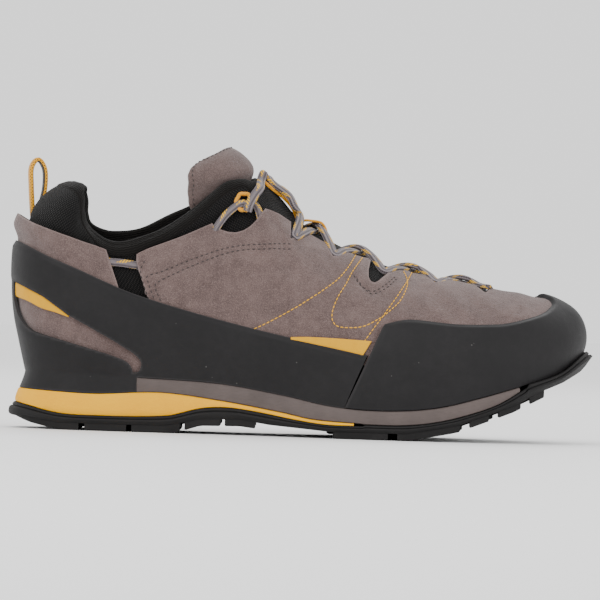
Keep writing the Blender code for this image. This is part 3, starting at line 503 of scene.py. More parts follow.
class Finish:
    # a material and its nodes
    def __init__(self, name, **fixed):
        self.material = bpy.data.materials.new(name)
        self.material.use_nodes = True
        self.tree = self.material.node_tree
        self.shader = self.tree.nodes["Principled BSDF"]
        for key, value in fixed.items():
            self.shader.inputs[key.replace("_", " ")].default_value = value

    def node(self, kind, settings=None, sockets=None, out=0):
        made = self.tree.nodes.new("ShaderNode" + kind)
        for key, value in (settings or {}).items():
            setattr(made, key, value)
        for key, value in (sockets or {}).items():
            self.feed(made.inputs[key], value)
        return Value(self, made.outputs[out])

    def feed(self, socket, value):
        if isinstance(value, Value):
            self.tree.links.new(value.socket, socket)
        else:
            socket.default_value = value

    def place(self):
        return self.node("TexCoord", out=3)

    def uv(self):
        vector = self.node("UVMap", {"uv_map": "weave"})
        split = self.node("SeparateXYZ", None, {0: vector})
        return split, Value(self, split.socket.node.outputs[1])

    def rim(self):
        return self.node("Attribute", {"attribute_name": "rim"}, out=2)

    def noise(self, scale, detail=2.0, rough=0.5, stretch=None):
        vector = self.place()
        if stretch:
            vector = self.node("Mapping", None, {0: vector, 3: stretch})
        return self.node("TexNoise", None, {"Vector": vector, "Scale": scale, "Detail": detail,
                                            "Roughness": rough})

    def specks(self, scale, size):
        # small round specks, 1 at their centres
        far = self.node("TexVoronoi", None, {"Vector": self.place(), "Scale": scale})
        return 1 - far.step(size * 0.5, size)

    def mix(self, share, first, second):
        return self.node("Mix", {"data_type": "RGBA"}, {0: share, 6: first, 7: second}, out=2)

    def colour(self, value):
        self.feed(self.shader.inputs["Base Color"], value)

    def rough(self, value):
        self.feed(self.shader.inputs["Roughness"], value)

    def bump(self, *layers):
        # layers of (height, distance in metres)
        normal = None
        for height, distance in layers:
            sockets = {"Height": height, "Distance": distance, "Strength": 1.0}
            if normal:
                sockets["Normal"] = normal
            normal = self.node("Bump", None, sockets)
        self.feed(self.shader.inputs["Normal"], normal)


def rgb(red, green, blue):
    # a colour as a screen shows it, 0 to 255
    def linear(value):
        value /= 255
        return value / 12.92 if value <= 0.04045 else ((value + 0.055) / 1.055) ** 2.4
    return (linear(red), linear(green), linear(blue), 1.0)


def suedeFinish(name, base, shade, light):
    f = Finish(name, Sheen_Weight=0.2, Sheen_Roughness=0.6, Specular_IOR_Level=0.12)
    cloud = f.noise(55, 3, 0.6)
    patch = f.noise(190, 4, 0.65)
    fibre = f.noise(2100, 3, 0.7)
    grain = f.noise(3600, 2, 0.6)
    streak = f.noise(700, 2, 0.6, stretch=(0.35, 1.0, 1.0))
    tone = f.mix((cloud * 0.55 + patch * 0.6).step(0.36, 0.82), shade, base)
    tone = f.mix(fibre.step(0.42, 0.68) * 0.55, tone, light)
    tone = f.mix((1 - grain.step(0.32, 0.5)) * 0.6, tone, shade)
    tone = f.mix(f.rim() * 0.5, tone, light)
    f.colour(tone)
    f.rough(0.86 + patch * 0.12)
    f.bump((patch, 0.0006), (streak, 0.00025), (fibre, 0.0003), (grain, 0.00014))
    return f.material


def rubberFinish(name, base, light, gloss=0.48, edge=0.5):
    f = Finish(name, Specular_IOR_Level=0.22)
    cloud = f.noise(28, 3, 0.6)
    film = f.noise(240, 4, 0.6)
    grain = f.noise(2600, 3, 0.6)
    tone = f.mix((cloud * 0.5 + film * 0.5).step(0.35, 0.75) * 0.5, base, light)
    dust = f.specks(230, 0.11)
    pick = f.noise(80, 1, 0.5).step(0.62, 0.68)
    tone = f.mix(dust * pick * 0.5, tone, rgb(104, 101, 99))
    tone = f.mix(f.rim() * edge, tone, rgb(112, 108, 108))
    f.colour(tone)
    f.rough(gloss + film * 0.16 + f.rim() * 0.2)
    f.bump((cloud, 0.0006), (film, 0.00012), (grain, 0.00005))
    return f.material


def foamFinish(name, base, shade, dirt, dirtShare):
    f = Finish(name, Specular_IOR_Level=0.3)
    cloud = f.noise(40, 3, 0.6)
    brush = f.noise(900, 3, 0.6, stretch=(0.25, 1.0, 1.6))
    grain = f.noise(3000, 2, 0.6)
    tone = f.mix(cloud.step(0.35, 0.7) * 0.6, base, shade)
    tone = f.mix(brush.step(0.5, 0.75) * 0.25, tone, shade)
    soil = f.noise(160, 5, 0.75).step(0.60, 0.74)
    tone = f.mix(soil * dirtShare, tone, dirt)
    f.colour(tone)
    f.rough(0.62 + brush * 0.2)
    f.bump((cloud, 0.0004), (brush, 0.00016), (grain, 0.00006))
    return f.material


def meshFinish(name, base, light, pitch=0.0016):
    # spacer mesh: rows of small open cells
    f = Finish(name, Sheen_Weight=0.08, Specular_IOR_Level=0.12)
    s, r = f.uv()
    turn = 2 * math.pi / pitch
    cell = (s * turn + (r * turn * 0.5).wave() * 0.5).wave() * (r * turn * 0.86).wave()
    cell = cell * 0.5 + 0.5
    fuzz = f.noise(2200, 2, 0.6)
    tone = f.mix(cell.step(0.55, 0.95) * 0.8, base, light)
    tone = f.mix(fuzz.step(0.55, 0.75) * 0.35, tone, light)
    f.colour(tone)
    f.rough(0.9)
    f.bump((cell, 0.0005), (fuzz, 0.00012))
    return f.material


def knitFinish(name, base, light):
    f = Finish(name, Sheen_Weight=0.08, Specular_IOR_Level=0.1)
    s, r = f.uv()
    rib = (r * 5200 + (s * 2600).wave() * 0.8).wave() * 0.5 + 0.5
    fuzz = f.noise(1400, 3, 0.65)
    soft = f.noise(90, 2, 0.5)
    tone = f.mix((fuzz * 0.6 + rib * 0.4).step(0.4, 0.8) * 0.6, base, light)
    f.colour(tone)
    f.rough(0.88)
    f.bump((soft, 0.0008), (rib, 0.00018), (fuzz, 0.00018))
    return f.material


def laceFinish(name, base, shade, fleck, pitch=0.0115):
    # woven lace: s runs along it, r round it
    f = Finish(name, Sheen_Weight=0.2, Specular_IOR_Level=0.3)
    s, r = f.uv()
    braid = ((s * 5200 + r * 1900).wave() * (s * 5200 - r * 1900).wave()) * 0.5 + 0.5
    cord = (r * 3100).wave() * 0.5 + 0.5
    tone = f.mix((braid * 0.6 + cord * 0.4).step(0.25, 0.75), shade, base)
    lane = (s / pitch + r * 190).fraction()
    dash = (s * 760 + r * 420).fraction()
    group = lane.step(0.50, 0.54) * (1 - lane.step(0.86, 0.90))
    half = (r * 215).fraction()
    mark = group * dash.step(0.18, 0.28) * (1 - dash.step(0.78, 0.88)) * (1 - half.step(0.52, 0.60))
    f.colour(f.mix(mark, tone, fleck))
    f.rough(0.8)
    f.bump((braid, 0.00022), (cord, 0.00012))
    return f.material


def threadFinish(name, base, light):
    f = Finish(name, Specular_IOR_Level=0.4, Sheen_Weight=0.15)
    twist = f.noise(5200, 2, 0.5)
    f.colour(f.mix(twist, base, light))
    f.rough(0.55 + twist * 0.2)
    f.bump((twist, 0.00005))
    return f.material


def webFinish(name, base, shade, pitch=0.0011):
    f = Finish(name, Specular_IOR_Level=0.35, Sheen_Weight=0.2)
    s, r = f.uv()
    turn = 2 * math.pi / pitch
    weave = ((s * turn).wave() * (r * turn).wave()) * 0.5 + 0.5
    f.colour(f.mix(weave.step(0.6, 0.9), base, shade))
    f.rough(0.7)
    f.bump((weave, 0.0002))
    return f.material


def trimFinish(name, base, shade):
    # coated microfibre of the bright panels
    f = Finish(name, Specular_IOR_Level=0.3)
    cloud = f.noise(120, 3, 0.6)
    grain = f.noise(2400, 3, 0.6)
    tone = f.mix(cloud.step(0.4, 0.75) * 0.5, base, shade)
    f.colour(f.mix(grain.step(0.5, 0.8) * 0.3, tone, shade))
    f.rough(0.5 + grain * 0.25)
    f.bump((cloud, 0.0003), (grain, 0.0001))
    return f.material


finishes = {
    "suede": suedeFinish("taupeSuede", rgb(106, 88, 84), rgb(78, 62, 59), rgb(142, 123, 119)),
    "tongueSuede": suedeFinish("tongueSuede", rgb(104, 87, 83), rgb(78, 63, 60), rgb(138, 120, 116)),
    "rand": rubberFinish("charcoalRand", rgb(23, 22, 23), rgb(38, 36, 37), edge=0.16),
    "outsole": rubberFinish("outsoleRubber", rgb(25, 24, 24), rgb(38, 36, 36), gloss=0.6, edge=0.25),
    "grey": foamFinish("greyFoam", rgb(92, 82, 79), rgb(76, 67, 64), rgb(48, 43, 41), 0.3),
    "yellow": foamFinish("yellowFoam", rgb(244, 178, 4), rgb(238, 168, 2), rgb(205, 135, 4), 0.08),
    "trim": trimFinish("yellowTrim", rgb(216, 158, 0), rgb(202, 140, 0)),
    "mesh": meshFinish("blackMesh", rgb(9, 9, 9), rgb(44, 41, 40)),
    "lining": knitFinish("darkLining", rgb(13, 12, 11), rgb(36, 32, 30)),
    "insole": knitFinish("insoleCover", rgb(22, 20, 19), rgb(46, 42, 40)),
    "lace": laceFinish("fleckedLace", rgb(130, 121, 124), rgb(62, 54, 57), rgb(226, 172, 0)),
    "yellowThread": threadFinish("yellowThread", rgb(222, 158, 0), rgb(240, 182, 2)),
    "darkThread": threadFinish("darkThread", rgb(34, 27, 25), rgb(60, 50, 48)),
    "web": webFinish("yellowWebbing", rgb(222, 152, 0), rgb(196, 122, 0)),
}
print("finishes ready")


def mm(*pairs):
    return [(x / 1000, z / 1000) for x, z in pairs]


def farFrom(outline, flat):
    # distance of side-view points from an open line
    best = np.full(flat.shape[:-1], 1e9)
    for start, end in zip(outline, outline[1:]):
        a, b = np.array(start), np.array(end)
        run = b - a
        share = np.clip(((flat - a) @ run) / max(run @ run, 1e-12), 0, 1)
        best = np.minimum(best, np.linalg.norm(flat - (a + share[..., None] * run), axis=-1))
    return best


# Suede upper: vamp with quarters, and the band round the heel
suede = {
    "wall": 0.0016,
    "cell": 0.00125,
    "flare": 0.0040,        # how far the heel band stands off the sock
    "groove": 0.00034,      # depth of the sewn channels
    "grooveWidth": 0.0010,
    "soft": 0.00042,        # height of the soft waves in the leather
    "vampEnd": 2.4,         # ring position where the vamp ends beside the heel
    "bandEnd": 5.3,
    "toeRow": 0.35,         # ring positions each side of the toe that close on the ridge
}
quarterTop = mm((-9, 89.5), (5.9, 90.8), (12.5, 93.6), (30.3, 100.8), (44.5, 107.4), (52, 111), (60, 114.5),
                (68.4, 116.3), (71.9, 115.6), (84.9, 109.8), (90.9, 105.6), (97.5, 102.6), (103.6, 99.2),
                (111.4, 95.9), (118.1, 93.5), (126.3, 92.4), (140, 92), (170, 92), (215, 92))
heelTop = mm((-60, 111), (-54.9, 110), (-48.1, 105.6), (-34, 100.3), (-9, 92.4), (2, 89))
scallop = mm((44.5, 107.4), (46.8, 105.4), (49.6, 104.1), (53, 103.1), (56.9, 103), (60.6, 104.2),
             (64, 106.5), (66.6, 109.2), (68.4, 111.9), (71.4, 115.9), (71.4, 130), (44.5, 130))
notches = [
    mm((84.9, 111), (84.7, 101.6), (85.3, 101.1), (86.1, 101.3), (90.9, 105.1), (92.2, 118), (84.9, 118)),
    mm((103.4, 100), (106.5, 93.0), (107.2, 92.6), (108, 92.9), (111.4, 95.9), (112.4, 106), (103.0, 106)),
    mm((126.4, 92.6), (125.0, 86), (125.1, 82.4), (126.2, 80.3), (128.2, 79.6), (130, 80.5), (135.2, 85.2),
       (137.6, 88.6), (138.6, 97), (126.4, 97)),
    mm((155.6, 84.4), (159.2, 80.8), (160.4, 80.7), (162.4, 82.6), (163.4, 90), (155.2, 90)),
    mm((180.0, 80.2), (184.6, 76.7), (185.9, 76.6), (188.2, 79.2), (188.8, 86), (179.6, 86)),
]
bandFront = mm((-9, 99), (-9, 92.4), (-5.6, 83.2), (-1.7, 72.5), (2.2, 62), (12.5, 44), (22, 20),
               (70, 20), (70, 99))
quarterBack = mm((12.5, 99), (12.5, 93.6), (9.0, 92.2), (6.6, 90.4), (6.6, 87), (7.7, 83.6), (10.2, 76),
                 (13.3, 67.8), (16.6, 58), (22, 20), (-60, 20), (-60, 99))
yellowSeams = [
    mm((118.1, 93.2), (113.7, 85.9), (106.7, 78.5), (90.6, 67.2), (77.9, 59.6), (68.3, 54.6)),
    mm((121.7, 92.3), (116.8, 85.0), (113.4, 78.2), (109.5, 71.3), (107.1, 64.1), (107.8, 58.9), (112.0, 56.5),
       (122.8, 57.3), (131.9, 62.3), (140.4, 69.7), (144.3, 76.5), (145.2, 81.7), (143.4, 86.0)),
    mm((147.5, 86.0), (143.2, 78.2), (137.0, 69.0), (129.0, 57.4), (124.0, 50.0)),
]
darkSeams = [
    mm((14.4, 65.8), (10.8, 74.9), (9.0, 82.0), (10.6, 86.6)),
    mm((16.9, 66.6), (13.4, 75.2), (12.6, 79.4), (20.6, 82.3), (30.8, 87.0), (40.9, 91.0), (51.1, 94.6),
       (61.4, 96.6), (70.1, 97.4), (84.5, 98.6)),
    mm((19.4, 67.6), (16.6, 74.6), (20.7, 78.2), (31.4, 83.6), (41.5, 88.1), (51.7, 92.0), (61.9, 94.3),
       (71.2, 95.1), (84.5, 96.0)),
    mm((117.9, 82.9), (122.1, 77.9), (127.4, 75.5), (133.4, 78.8), (138.5, 83.1)),
    mm((119.6, 81.6), (123.2, 77.0), (127.4, 74.0), (134.4, 77.6), (139.3, 81.9)),
]
# soft troughs and ridges: line, height, width
creases = [
    (mm((203.6, 69.3), (201.4, 66.2)), -0.0007, 0.0007),
    (mm((205.4, 68.6), (203.4, 65.8)), -0.0006, 0.0006),
    (mm((201.4, 69.0), (199.4, 66.6)), -0.0004, 0.0006),
    (mm((150, 84), (151, 72), (146, 62)), -0.0007, 0.0050),
    (mm((166, 80), (170, 70), (168, 61)), 0.0006, 0.0060),
    (mm((92, 101), (84, 90), (70, 82)), -0.0006, 0.0060),
    (mm((76, 108), (66, 98), (50, 88), (36, 80)), 0.0007, 0.0070),
    (mm((60, 84), (80, 76), (96, 80)), 0.0006, 0.0070),
    (mm((30, 62), (52, 66), (72, 60)), -0.0005, 0.0060),
    (mm((176, 76), (180, 70), (178, 64)), -0.0005, 0.0040),
    (mm((98, 96), (101, 86), (98, 74)), 0.0005, 0.0040),
]


def leatherLift(u, t):
    # relief of the suede, from its seams, creases and soft waves
    flat = lastPoint(u, t)[..., [0, 2]]
    lift = np.zeros(u.shape)
    for line in yellowSeams + darkSeams:
        lift -= suede["groove"] * bell(farFrom(line, flat) / suede["grooveWidth"])
    for line, height, width in creases:
        lift += height * bell(farFrom(line, flat) / width)
    x, z = flat[..., 0], flat[..., 1]
    lift += suede["soft"] * (np.sin(x * 260 + 3 * np.sin(z * 90)) * np.sin(z * 210 + 2 * np.sin(x * 75)))
    return lift


def rimOf(keep):
    # 1 on the borders of the kept faces at the top and in cut outlines
    rim = (corners(~keep) & corners(keep)).astype(float)
    rim[:, -1] = 1
    return rim


def suedePiece(name, first, end, line, foot, outlines, throat):
    across = evenColumns(first, end, suede["cell"], 0.7)
    edge = shareAtLine(across, line)
    if throat:
        edge = np.minimum(edge, throatShare(across))
        atToe = np.abs(np.mod(across, turns) - last["toe"]) <= suede["toeRow"]
        edge = np.where(atToe, 1.0, edge)
    low = foot(across)
    tall = np.linalg.norm(lastPoint(across, edge) - lastPoint(across, low), axis=1).max()
    rows = np.linspace(0, 1, int(tall / suede["cell"] * 1.12) + 1)
    u = np.broadcast_to(across[:, None], (len(across), len(rows))).copy()
    t = low[:, None] + rows * (edge - low)[:, None]
    keep, u, t = cutSkin(u, t, outlines)
    belt = shareAtLine(across, randLine)[:, None]
    above = np.clip((t - belt) / np.maximum(edge[:, None] - belt, 0.02), 0, 1)
    lift = suede["flare"] * ease(1.15 - fromHeel(u) / 2.6) * ease(above * 1.5) + leatherLift(u, t)
    piece = gridPiece(name, skin(u, t, lift), finishes["suede"], keep, rimOf(keep))
    thicken(piece, suede["wall"])
    return settle(piece, "suede", "upper")


suedePiece("vamp", suede["vampEnd"], turns - suede["vampEnd"], quarterTop,
           lambda u: shareAtLine(u, randLine) * 0.82, [scallop, quarterBack] + notches, True)
suedePiece("heelBand", -suede["bandEnd"], suede["bandEnd"], heelTop,
           lambda u: np.full(len(u), 0.01), [bandFront], False)
print("suede ready")

# Rubber rands
rand = {
    "wall": 0.0016,
    "heelLift": 0.0022,
    "toeLift": 0.0028,
    "skive": 0.0030,        # width over which the rubber thins to its edge
    "edgeLift": 0.0010,
    "cell": 0.0012,
    "flangeEnd": 3.8,
    "clearance": 0.0003,
    "seamFoot": 9.95,       # ring positions of the seam between the rands, at the feather line and on top
    "corner": 11.4,
    "reach": 10.8,          # ring position of the seam at the heel rand's edge
    "heelLean": 8.0,        # ring positions from which the columns lean into the seam
    "toeLean": 13.0,
    "halfSeam": 0.004,
    "heelRows": 58,
    "toeRows": 44,
    "flangeRows": 8,
    "windowThin": 0.0005,
    "windowEdge": 0.0035,
    "toeThin": 0.0008,
}
counter = mm((-56, 64), (-40, 55), (-20, 46), (-2, 40))
# soft waves of the toe rand: line, height, width
toeWaves = ((mm((140, 46), (160, 40), (185, 44)), 0.0005, 0.010),
            (mm((205, 58), (222, 56), (234, 52)), 0.0005, 0.008),
            (mm((196, 60), (212, 66), (224, 70)), -0.0005, 0.006))
ledges = {      # how far the sole stands out at side, heel and toe, shares of the width
    "shankTop": (0.026, -0.004, 0.043),
    "shankBase": (0.0355, -0.004, 0.053),
    "wedgeLip": (0.0327, 0.050, 0.048),
    "wedgeBase": (0.0394, 0.0673, 0.048),
    "outsoleLip": (0.0385, 0.0673, 0.0635),
    "outsoleRim": (0.0471, 0.0952, 0.098),
    "outsoleFoot": (0.0346, 0.075, 0.0442),
}
heelWindow = upperLine([(0.009, 0.469), (0.056, 0.403), (0.103, 0.301), (0.152, 0.22), (0.178, 0.178),
                        (0.195, 0.146), (0.209, 0.122), (0.220, 0.098), (0.226, 0.078), (0.228, 0.055),
                        (0.224, 0.018), (0.214, 0.014), (0.211, 0.042), (0.205, 0.064), (0.196, 0.080),
                        (0.170, 0.106), (0.135, 0.135), (0.084, 0.178), (0.060, 0.197), (0.045, 0.212),
                        (0.033, 0.238), (0.025, 0.27), (0.018, 0.31), (0.011, 0.386)])


def ledgeAt(name, u):
    side, heel, toe = ledges[name]
    x = outward(u)[..., 0]
    end = np.where(x < 0, heel, toe)
    return (side + (end - side) * x * x) * last["ballWidth"]


def shankLedge(name, u):
    side, heel, toe = ledges[name]
    x = outward(u)[..., 0]
    tucked = fromHeel(u) < rand["flangeEnd"] - 0.02
    return np.where(tucked, heel, side + (toe - side) * x * x) * last["ballWidth"]


def footShare(u, lift):
    def test(t):
        point = skin(u, t, np.full(u.shape, lift))
        return point[..., 2] - curveAt(featherLine, point[..., 0]) - 0.0001
    return solveShare(test, u)


cornerHeight = last["stack"] + toeEdgeShares[0][1] * last["rise"]
cornerShare = shareAtHeight(np.array([rand["corner"]]), cornerHeight)[0]


def seamAt(t):
    # ring position of the seam between the rands
    span = rand["corner"] - rand["seamFoot"]
    return rand["seamFoot"] + span * (np.clip(t, 0, 1) / cornerShare) ** 1.1


def skived(base, t, edge, u):
    # lift that thins towards the top edge
    reach = np.linalg.norm(lastPoint(u, edge) - lastPoint(u, edge - 0.05), axis=-1) / 0.05
    away = (edge - t) * reach
    return rand["edgeLift"] + (base - rand["edgeLift"]) * ease(away / rand["skive"])


def makeHeelRand():
    reach, lean = rand["reach"], rand["heelLean"]
    across = evenColumns(-reach, reach, rand["cell"], 0.3)
    flange = np.linspace(-1, 0, rand["flangeRows"] + 1)
    rows = np.concatenate([flange[:-1], np.linspace(0, 1, rand["heelRows"])])
    foot = footShare(across, rand["heelLift"])[:, None]
    u = np.broadcast_to(across[:, None], (len(across), len(rows))).copy()
    up = np.clip(rows, 0, 1)
    t = foot + up * (shareAtLine(across, randLine)[:, None] - foot)
    seamShare = shareAtLine(np.array([reach]), randLine)[0]
    away = np.abs(u)
    target = seamAt(up * seamShare)[None, :] - rand["halfSeam"]
    stretched = lean + (away - lean) * (target - lean) / (reach - lean)
    u = np.where(away > lean, np.sign(u) * stretched, u)
    edge = shareAtLine(u, randLine)
    t = np.where(away > lean, foot + up * (edge - foot), t)
    keep, u, t = cutSkin(u, t, [heelWindow])
    lift = skived(rand["heelLift"], t, edge, u)
    flat = lastPoint(u, t)[..., [0, 2]]
    window = farFrom(heelWindow + heelWindow[:1], flat)
    thinner = rand["windowThin"] * (1 - ease(window / rand["windowEdge"]))
    lift = np.minimum(lift, rand["heelLift"] - thinner)
    lift += 0.0007 * bell(farFrom(counter, flat) / 0.010) * ease((-flat[..., 0] + 0.004) / 0.01)
    points = skin(u, t, lift)
    # the flange turns out over the wedge below the feather line
    for row, share in enumerate(rows[rows <= 0]):
        column = u[:, row]
        base = ringAt(column)
        side = outward(column)
        start = np.stack([base[:, 0], base[:, 1], 0 * column], -1) + side * rand["heelLift"]
        out = np.maximum(ledgeAt("wedgeLip", column) - rand["clearance"] - rand["heelLift"], 0.0004)
        place = start + side * (out * (-share) ** 1.25)[:, None]
        top = curveAt(featherLine, start[:, 0])
        low = curveAt(wedgeTopLine, place[:, 0]) + 0.0003
        place[:, 2] = top + (low - top) * -share
        points[:, row] = place
    middleU = (np.abs(across[1:]) + np.abs(across[:-1])) / 2
    keep[:, :rand["flangeRows"]] &= (middleU < rand["flangeEnd"])[:, None]
    rim = rimOf(keep)
    rim[:, 0] = 0.6
    piece = gridPiece("heelRandSkin", points, finishes["rand"], keep, rim)
    thicken(piece, rand["wall"])
    return settle(piece, "rand_rubber", "heel_rand")


def makeToeRand():
    outer = evenColumns(rand["corner"], last["toe"], rand["cell"], 0.3)
    across = np.concatenate([outer, turns - outer[-2::-1]])
    rows = np.linspace(0, 1, rand["toeRows"])
    away = np.minimum(across, turns - across)
    u = np.broadcast_to(away[:, None], (len(across), len(rows))).copy()
    lean = rand["toeLean"]
    corner = seamAt(rows * cornerShare)[None, :] + rand["halfSeam"]
    u = np.where(u < lean, lean - (lean - u) * (lean - corner) / (lean - rand["corner"]), u)
    height = last["stack"] + curveAt(toeEdgeShares, np.broadcast_to(away[:, None], u.shape)) * last["rise"]
    side = np.where(across <= last["toe"], -1, 1)[:, None]
    u = sidePlace(side, u)
    foot = footShare(u, rand["toeLift"])
    edge = shareAtHeight(u, height)
    t = foot + rows * (edge - foot)
    thinner = rand["toeThin"] * ease((rows - 0.88) / 0.12) * ease((fromHeel(u) - 15) / 1.2)
    lift = skived(rand["toeLift"], t, edge, u) - thinner
    seam = np.minimum(np.arange(len(across)), np.arange(len(across))[::-1])[:, None] * rand["cell"]
    lift = np.minimum(lift, 0.0021 + 0.0007 * ease(seam / 0.003) + 0 * u)
    flat = lastPoint(u, t)[..., [0, 2]]
    for line, deep, wide in toeWaves:
        lift = lift + deep * bell(farFrom(line, flat) / wide)
    rim = np.zeros(u.shape)
    rim[:, -1] = 1
    rim[0, :] = 0.7
    rim[-1, :] = 0.7
    piece = gridPiece("toeRandSkin", skin(u, t, lift), finishes["rand"], None, rim)
    thicken(piece, rand["wall"])
    return settle(piece, "rand_rubber", "toe_rand")


makeHeelRand()
makeToeRand()
print("rands ready")


# Bright panels
accents = {"lift": 0.0010, "wall": 0.0009, "columns": 60, "rows": 10}
# upper and lower edge of each panel
sidePanel = (mm((86.6, 50.7), (96, 51.0), (112, 50.5), (127.4, 49.7)),
             mm((86.6, 49.4), (96, 47.8), (112, 44.9), (123.4, 42.6)))
heelPanel = (mm((-54.3, 74.6), (-48, 71.4), (-40.6, 67.8), (-33, 63), (-26.7, 58.2)),
             mm((-54.3, 67.2), (-48, 65.2), (-40.6, 61.7), (-33, 59.6), (-26.7, 57.4)))


def panelPiece(name, side, top, low, node):
    share = np.linspace(0, 1, accents["columns"])[:, None]
    rows = np.linspace(0, 1, accents["rows"])[None, :]
    ends = [(np.array(line)[0, 0], np.array(line)[-1, 0]) for line in (low, top)]
    xLow, xTop = (a + (b - a) * share for a, b in ends)
    x = xLow + (xTop - xLow) * rows
    zLow, zTop = curveAt(low, xLow), curveAt(top, xTop)
    z = zLow + (zTop - zLow) * rows
    u, t = onSkin(np.full(x.shape, side), x, z)
    if side > 0:
        u, t = u[::-1], t[::-1]
    away = np.minimum(np.minimum(rows, 1 - rows) * 0.008, 0.001) / 0.001
    points = skin(u, t, accents["lift"] + 0.0003 * ease(away) + 0 * u)
    rim = ((rows < 0.01) | (rows > 0.99)) * np.ones(u.shape)
    piece = gridPiece(name, points, finishes["trim"], None, rim * 0.5)
    thicken(piece, accents["wall"])
    return settle(piece, "bright_trim", node)


for side, word in ((-1, "outer"), (1, "inner")):
    panelPiece("sidePanel." + word, side, *sidePanel, "side_accent_" + word)
    panelPiece("heelPanel." + word, side, *heelPanel, "heel_accent_" + word)
print("bright panels ready")

# Padded collar: black mesh outside, knitted lining over the rim and inside
collar = {
    "lift": -0.0026,        # outer face of the sock
    "wall": 0.0034,
    "puff": 0.0016,
    "band": 0.0065,         # width of the lining folded over the rim
    "roll": 0.00228,        # height of the rolled rim
    "meshEnd": 15.5,        # ring positions where the mesh and the lining end
    "liningEnd": 8.6,
    "liningWall": 0.0006,
    "liningGap": 0.0008,    # between the padding and the lining
    "fill": 0.6,            # how tight the padding is
    "cell": 0.0018,
}
collarFoot = [(0, 0.40), (9, 0.46), (12, 0.60), (15.5, 0.66)]


def puffAt(u, t, edge):
    above = np.clip((t - edge) / np.maximum(1 - edge, 0.02), 0, 1)
    swell = np.sin(np.pi * np.clip(above * 0.85 + 0.08, 0, 1))
    return collar["puff"] * swell * ease((9.2 - fromHeel(u)) / 1.2)


def collarEdge(u):
    signed = np.where(np.mod(u, turns) > turns / 2, np.mod(u, turns) - turns, np.mod(u, turns))
    heel = shareAtLine(u, heelTop)
    quarter = shareAtLine(u, quarterTop)
    return np.where(np.abs(signed) < 3.2, heel, quarter)


collarRise = {      # how far the rim stands above the last on the outer and the inner side
    -1: mm((-60, 0), (-45, 1), (-34, 2), (-22, 2.5), (-16, -0.5), (-12, -1.2), (-4, -1.5), (8, 0), (20, 0.3),
           (32, 2), (39, 3.6), (50, 6), (58, 4.4), (66, 1.5), (72, 2.0), (79, 3.8), (85, 3.2), (90, 1.6),
           (94, 1.2), (110, 0.9), (190, 0.9), (196, 0)),
    1: mm((-60, 0), (-45, 1), (-34, 2), (-22, 2.5), (-17, 1.5), (-11, 3), (-4, 4.5), (6, 5.3), (20, 6.9),
          (32, 6), (39, 6), (50, 6.5), (58, 4.5), (66, 1.5), (72, 2.0), (79, 3.8), (85, 3.2), (90, 1.6),
           (94, 1.2), (110, 0.9), (190, 0.9), (196, 0)),
}


# forward shift of the heel tab's front edge by height
rimPush = mm((90, 0.5), (98, 0.2), (104, -1.0), (110, 2.0), (115, 5.2), (120, 6.2), (125, 5.4), (132, 4.5))


def rimShift(points, t):
    share = ease((t - 0.72) / 0.28)
    x = points[..., 0]
    rise = np.where(points[..., 1] < 0, curveAt(collarRise[-1], x), curveAt(collarRise[1], x))
    blend = ease(np.abs(points[..., 1]) / 0.008)
    middle = (curveAt(collarRise[-1], x) + curveAt(collarRise[1], x)) / 2
    rise = middle + (rise - middle) * blend
    push = curveAt(rimPush, points[..., 2])
    forward = push * bell((x + 0.018) / 0.009)
    return points + np.stack([forward * share, 0 * x, rise * share], -1)


def rimTop(u):
    # the rim stops a little short of the ridge at the mouth's front end
    away = fromHeel(u)
    return 1 - 0.08 * ease((away - 7.6) / 0.5) * ease((9.5 - away) / 0.3)


def makeCollarMesh():
    across = evenColumns(-collar["meshEnd"], collar["meshEnd"], collar["cell"], 0.9)
    rows = np.linspace(0, 1, 46)
    foot = curveAt(collarFoot, np.abs(across))
    u = np.broadcast_to(across[:, None], (len(across), len(rows)))
    t = foot[:, None] + rows * (rimTop(across) - foot)[:, None]
    edge = np.minimum(collarEdge(across), throatShare(across))[:, None]
    shown = ease((t - edge) / 0.03)
    lift = collar["lift"] + puffAt(u, t, edge) * shown
    lift = lift - 0.0010 * ease((t - 0.985) / 0.015) * (fromHeel(u) < 9)
    piece = gridPiece("collarMesh", rimShift(skin(u, t, lift), t), finishes["mesh"])
    with meshEdit(piece.data) as bm:
        bmesh.ops.remove_doubles(bm, verts=bm.verts, dist=0.00005)
    thicken(piece, collar["wall"])
    settle(piece, "mesh", "sock", angle=60)


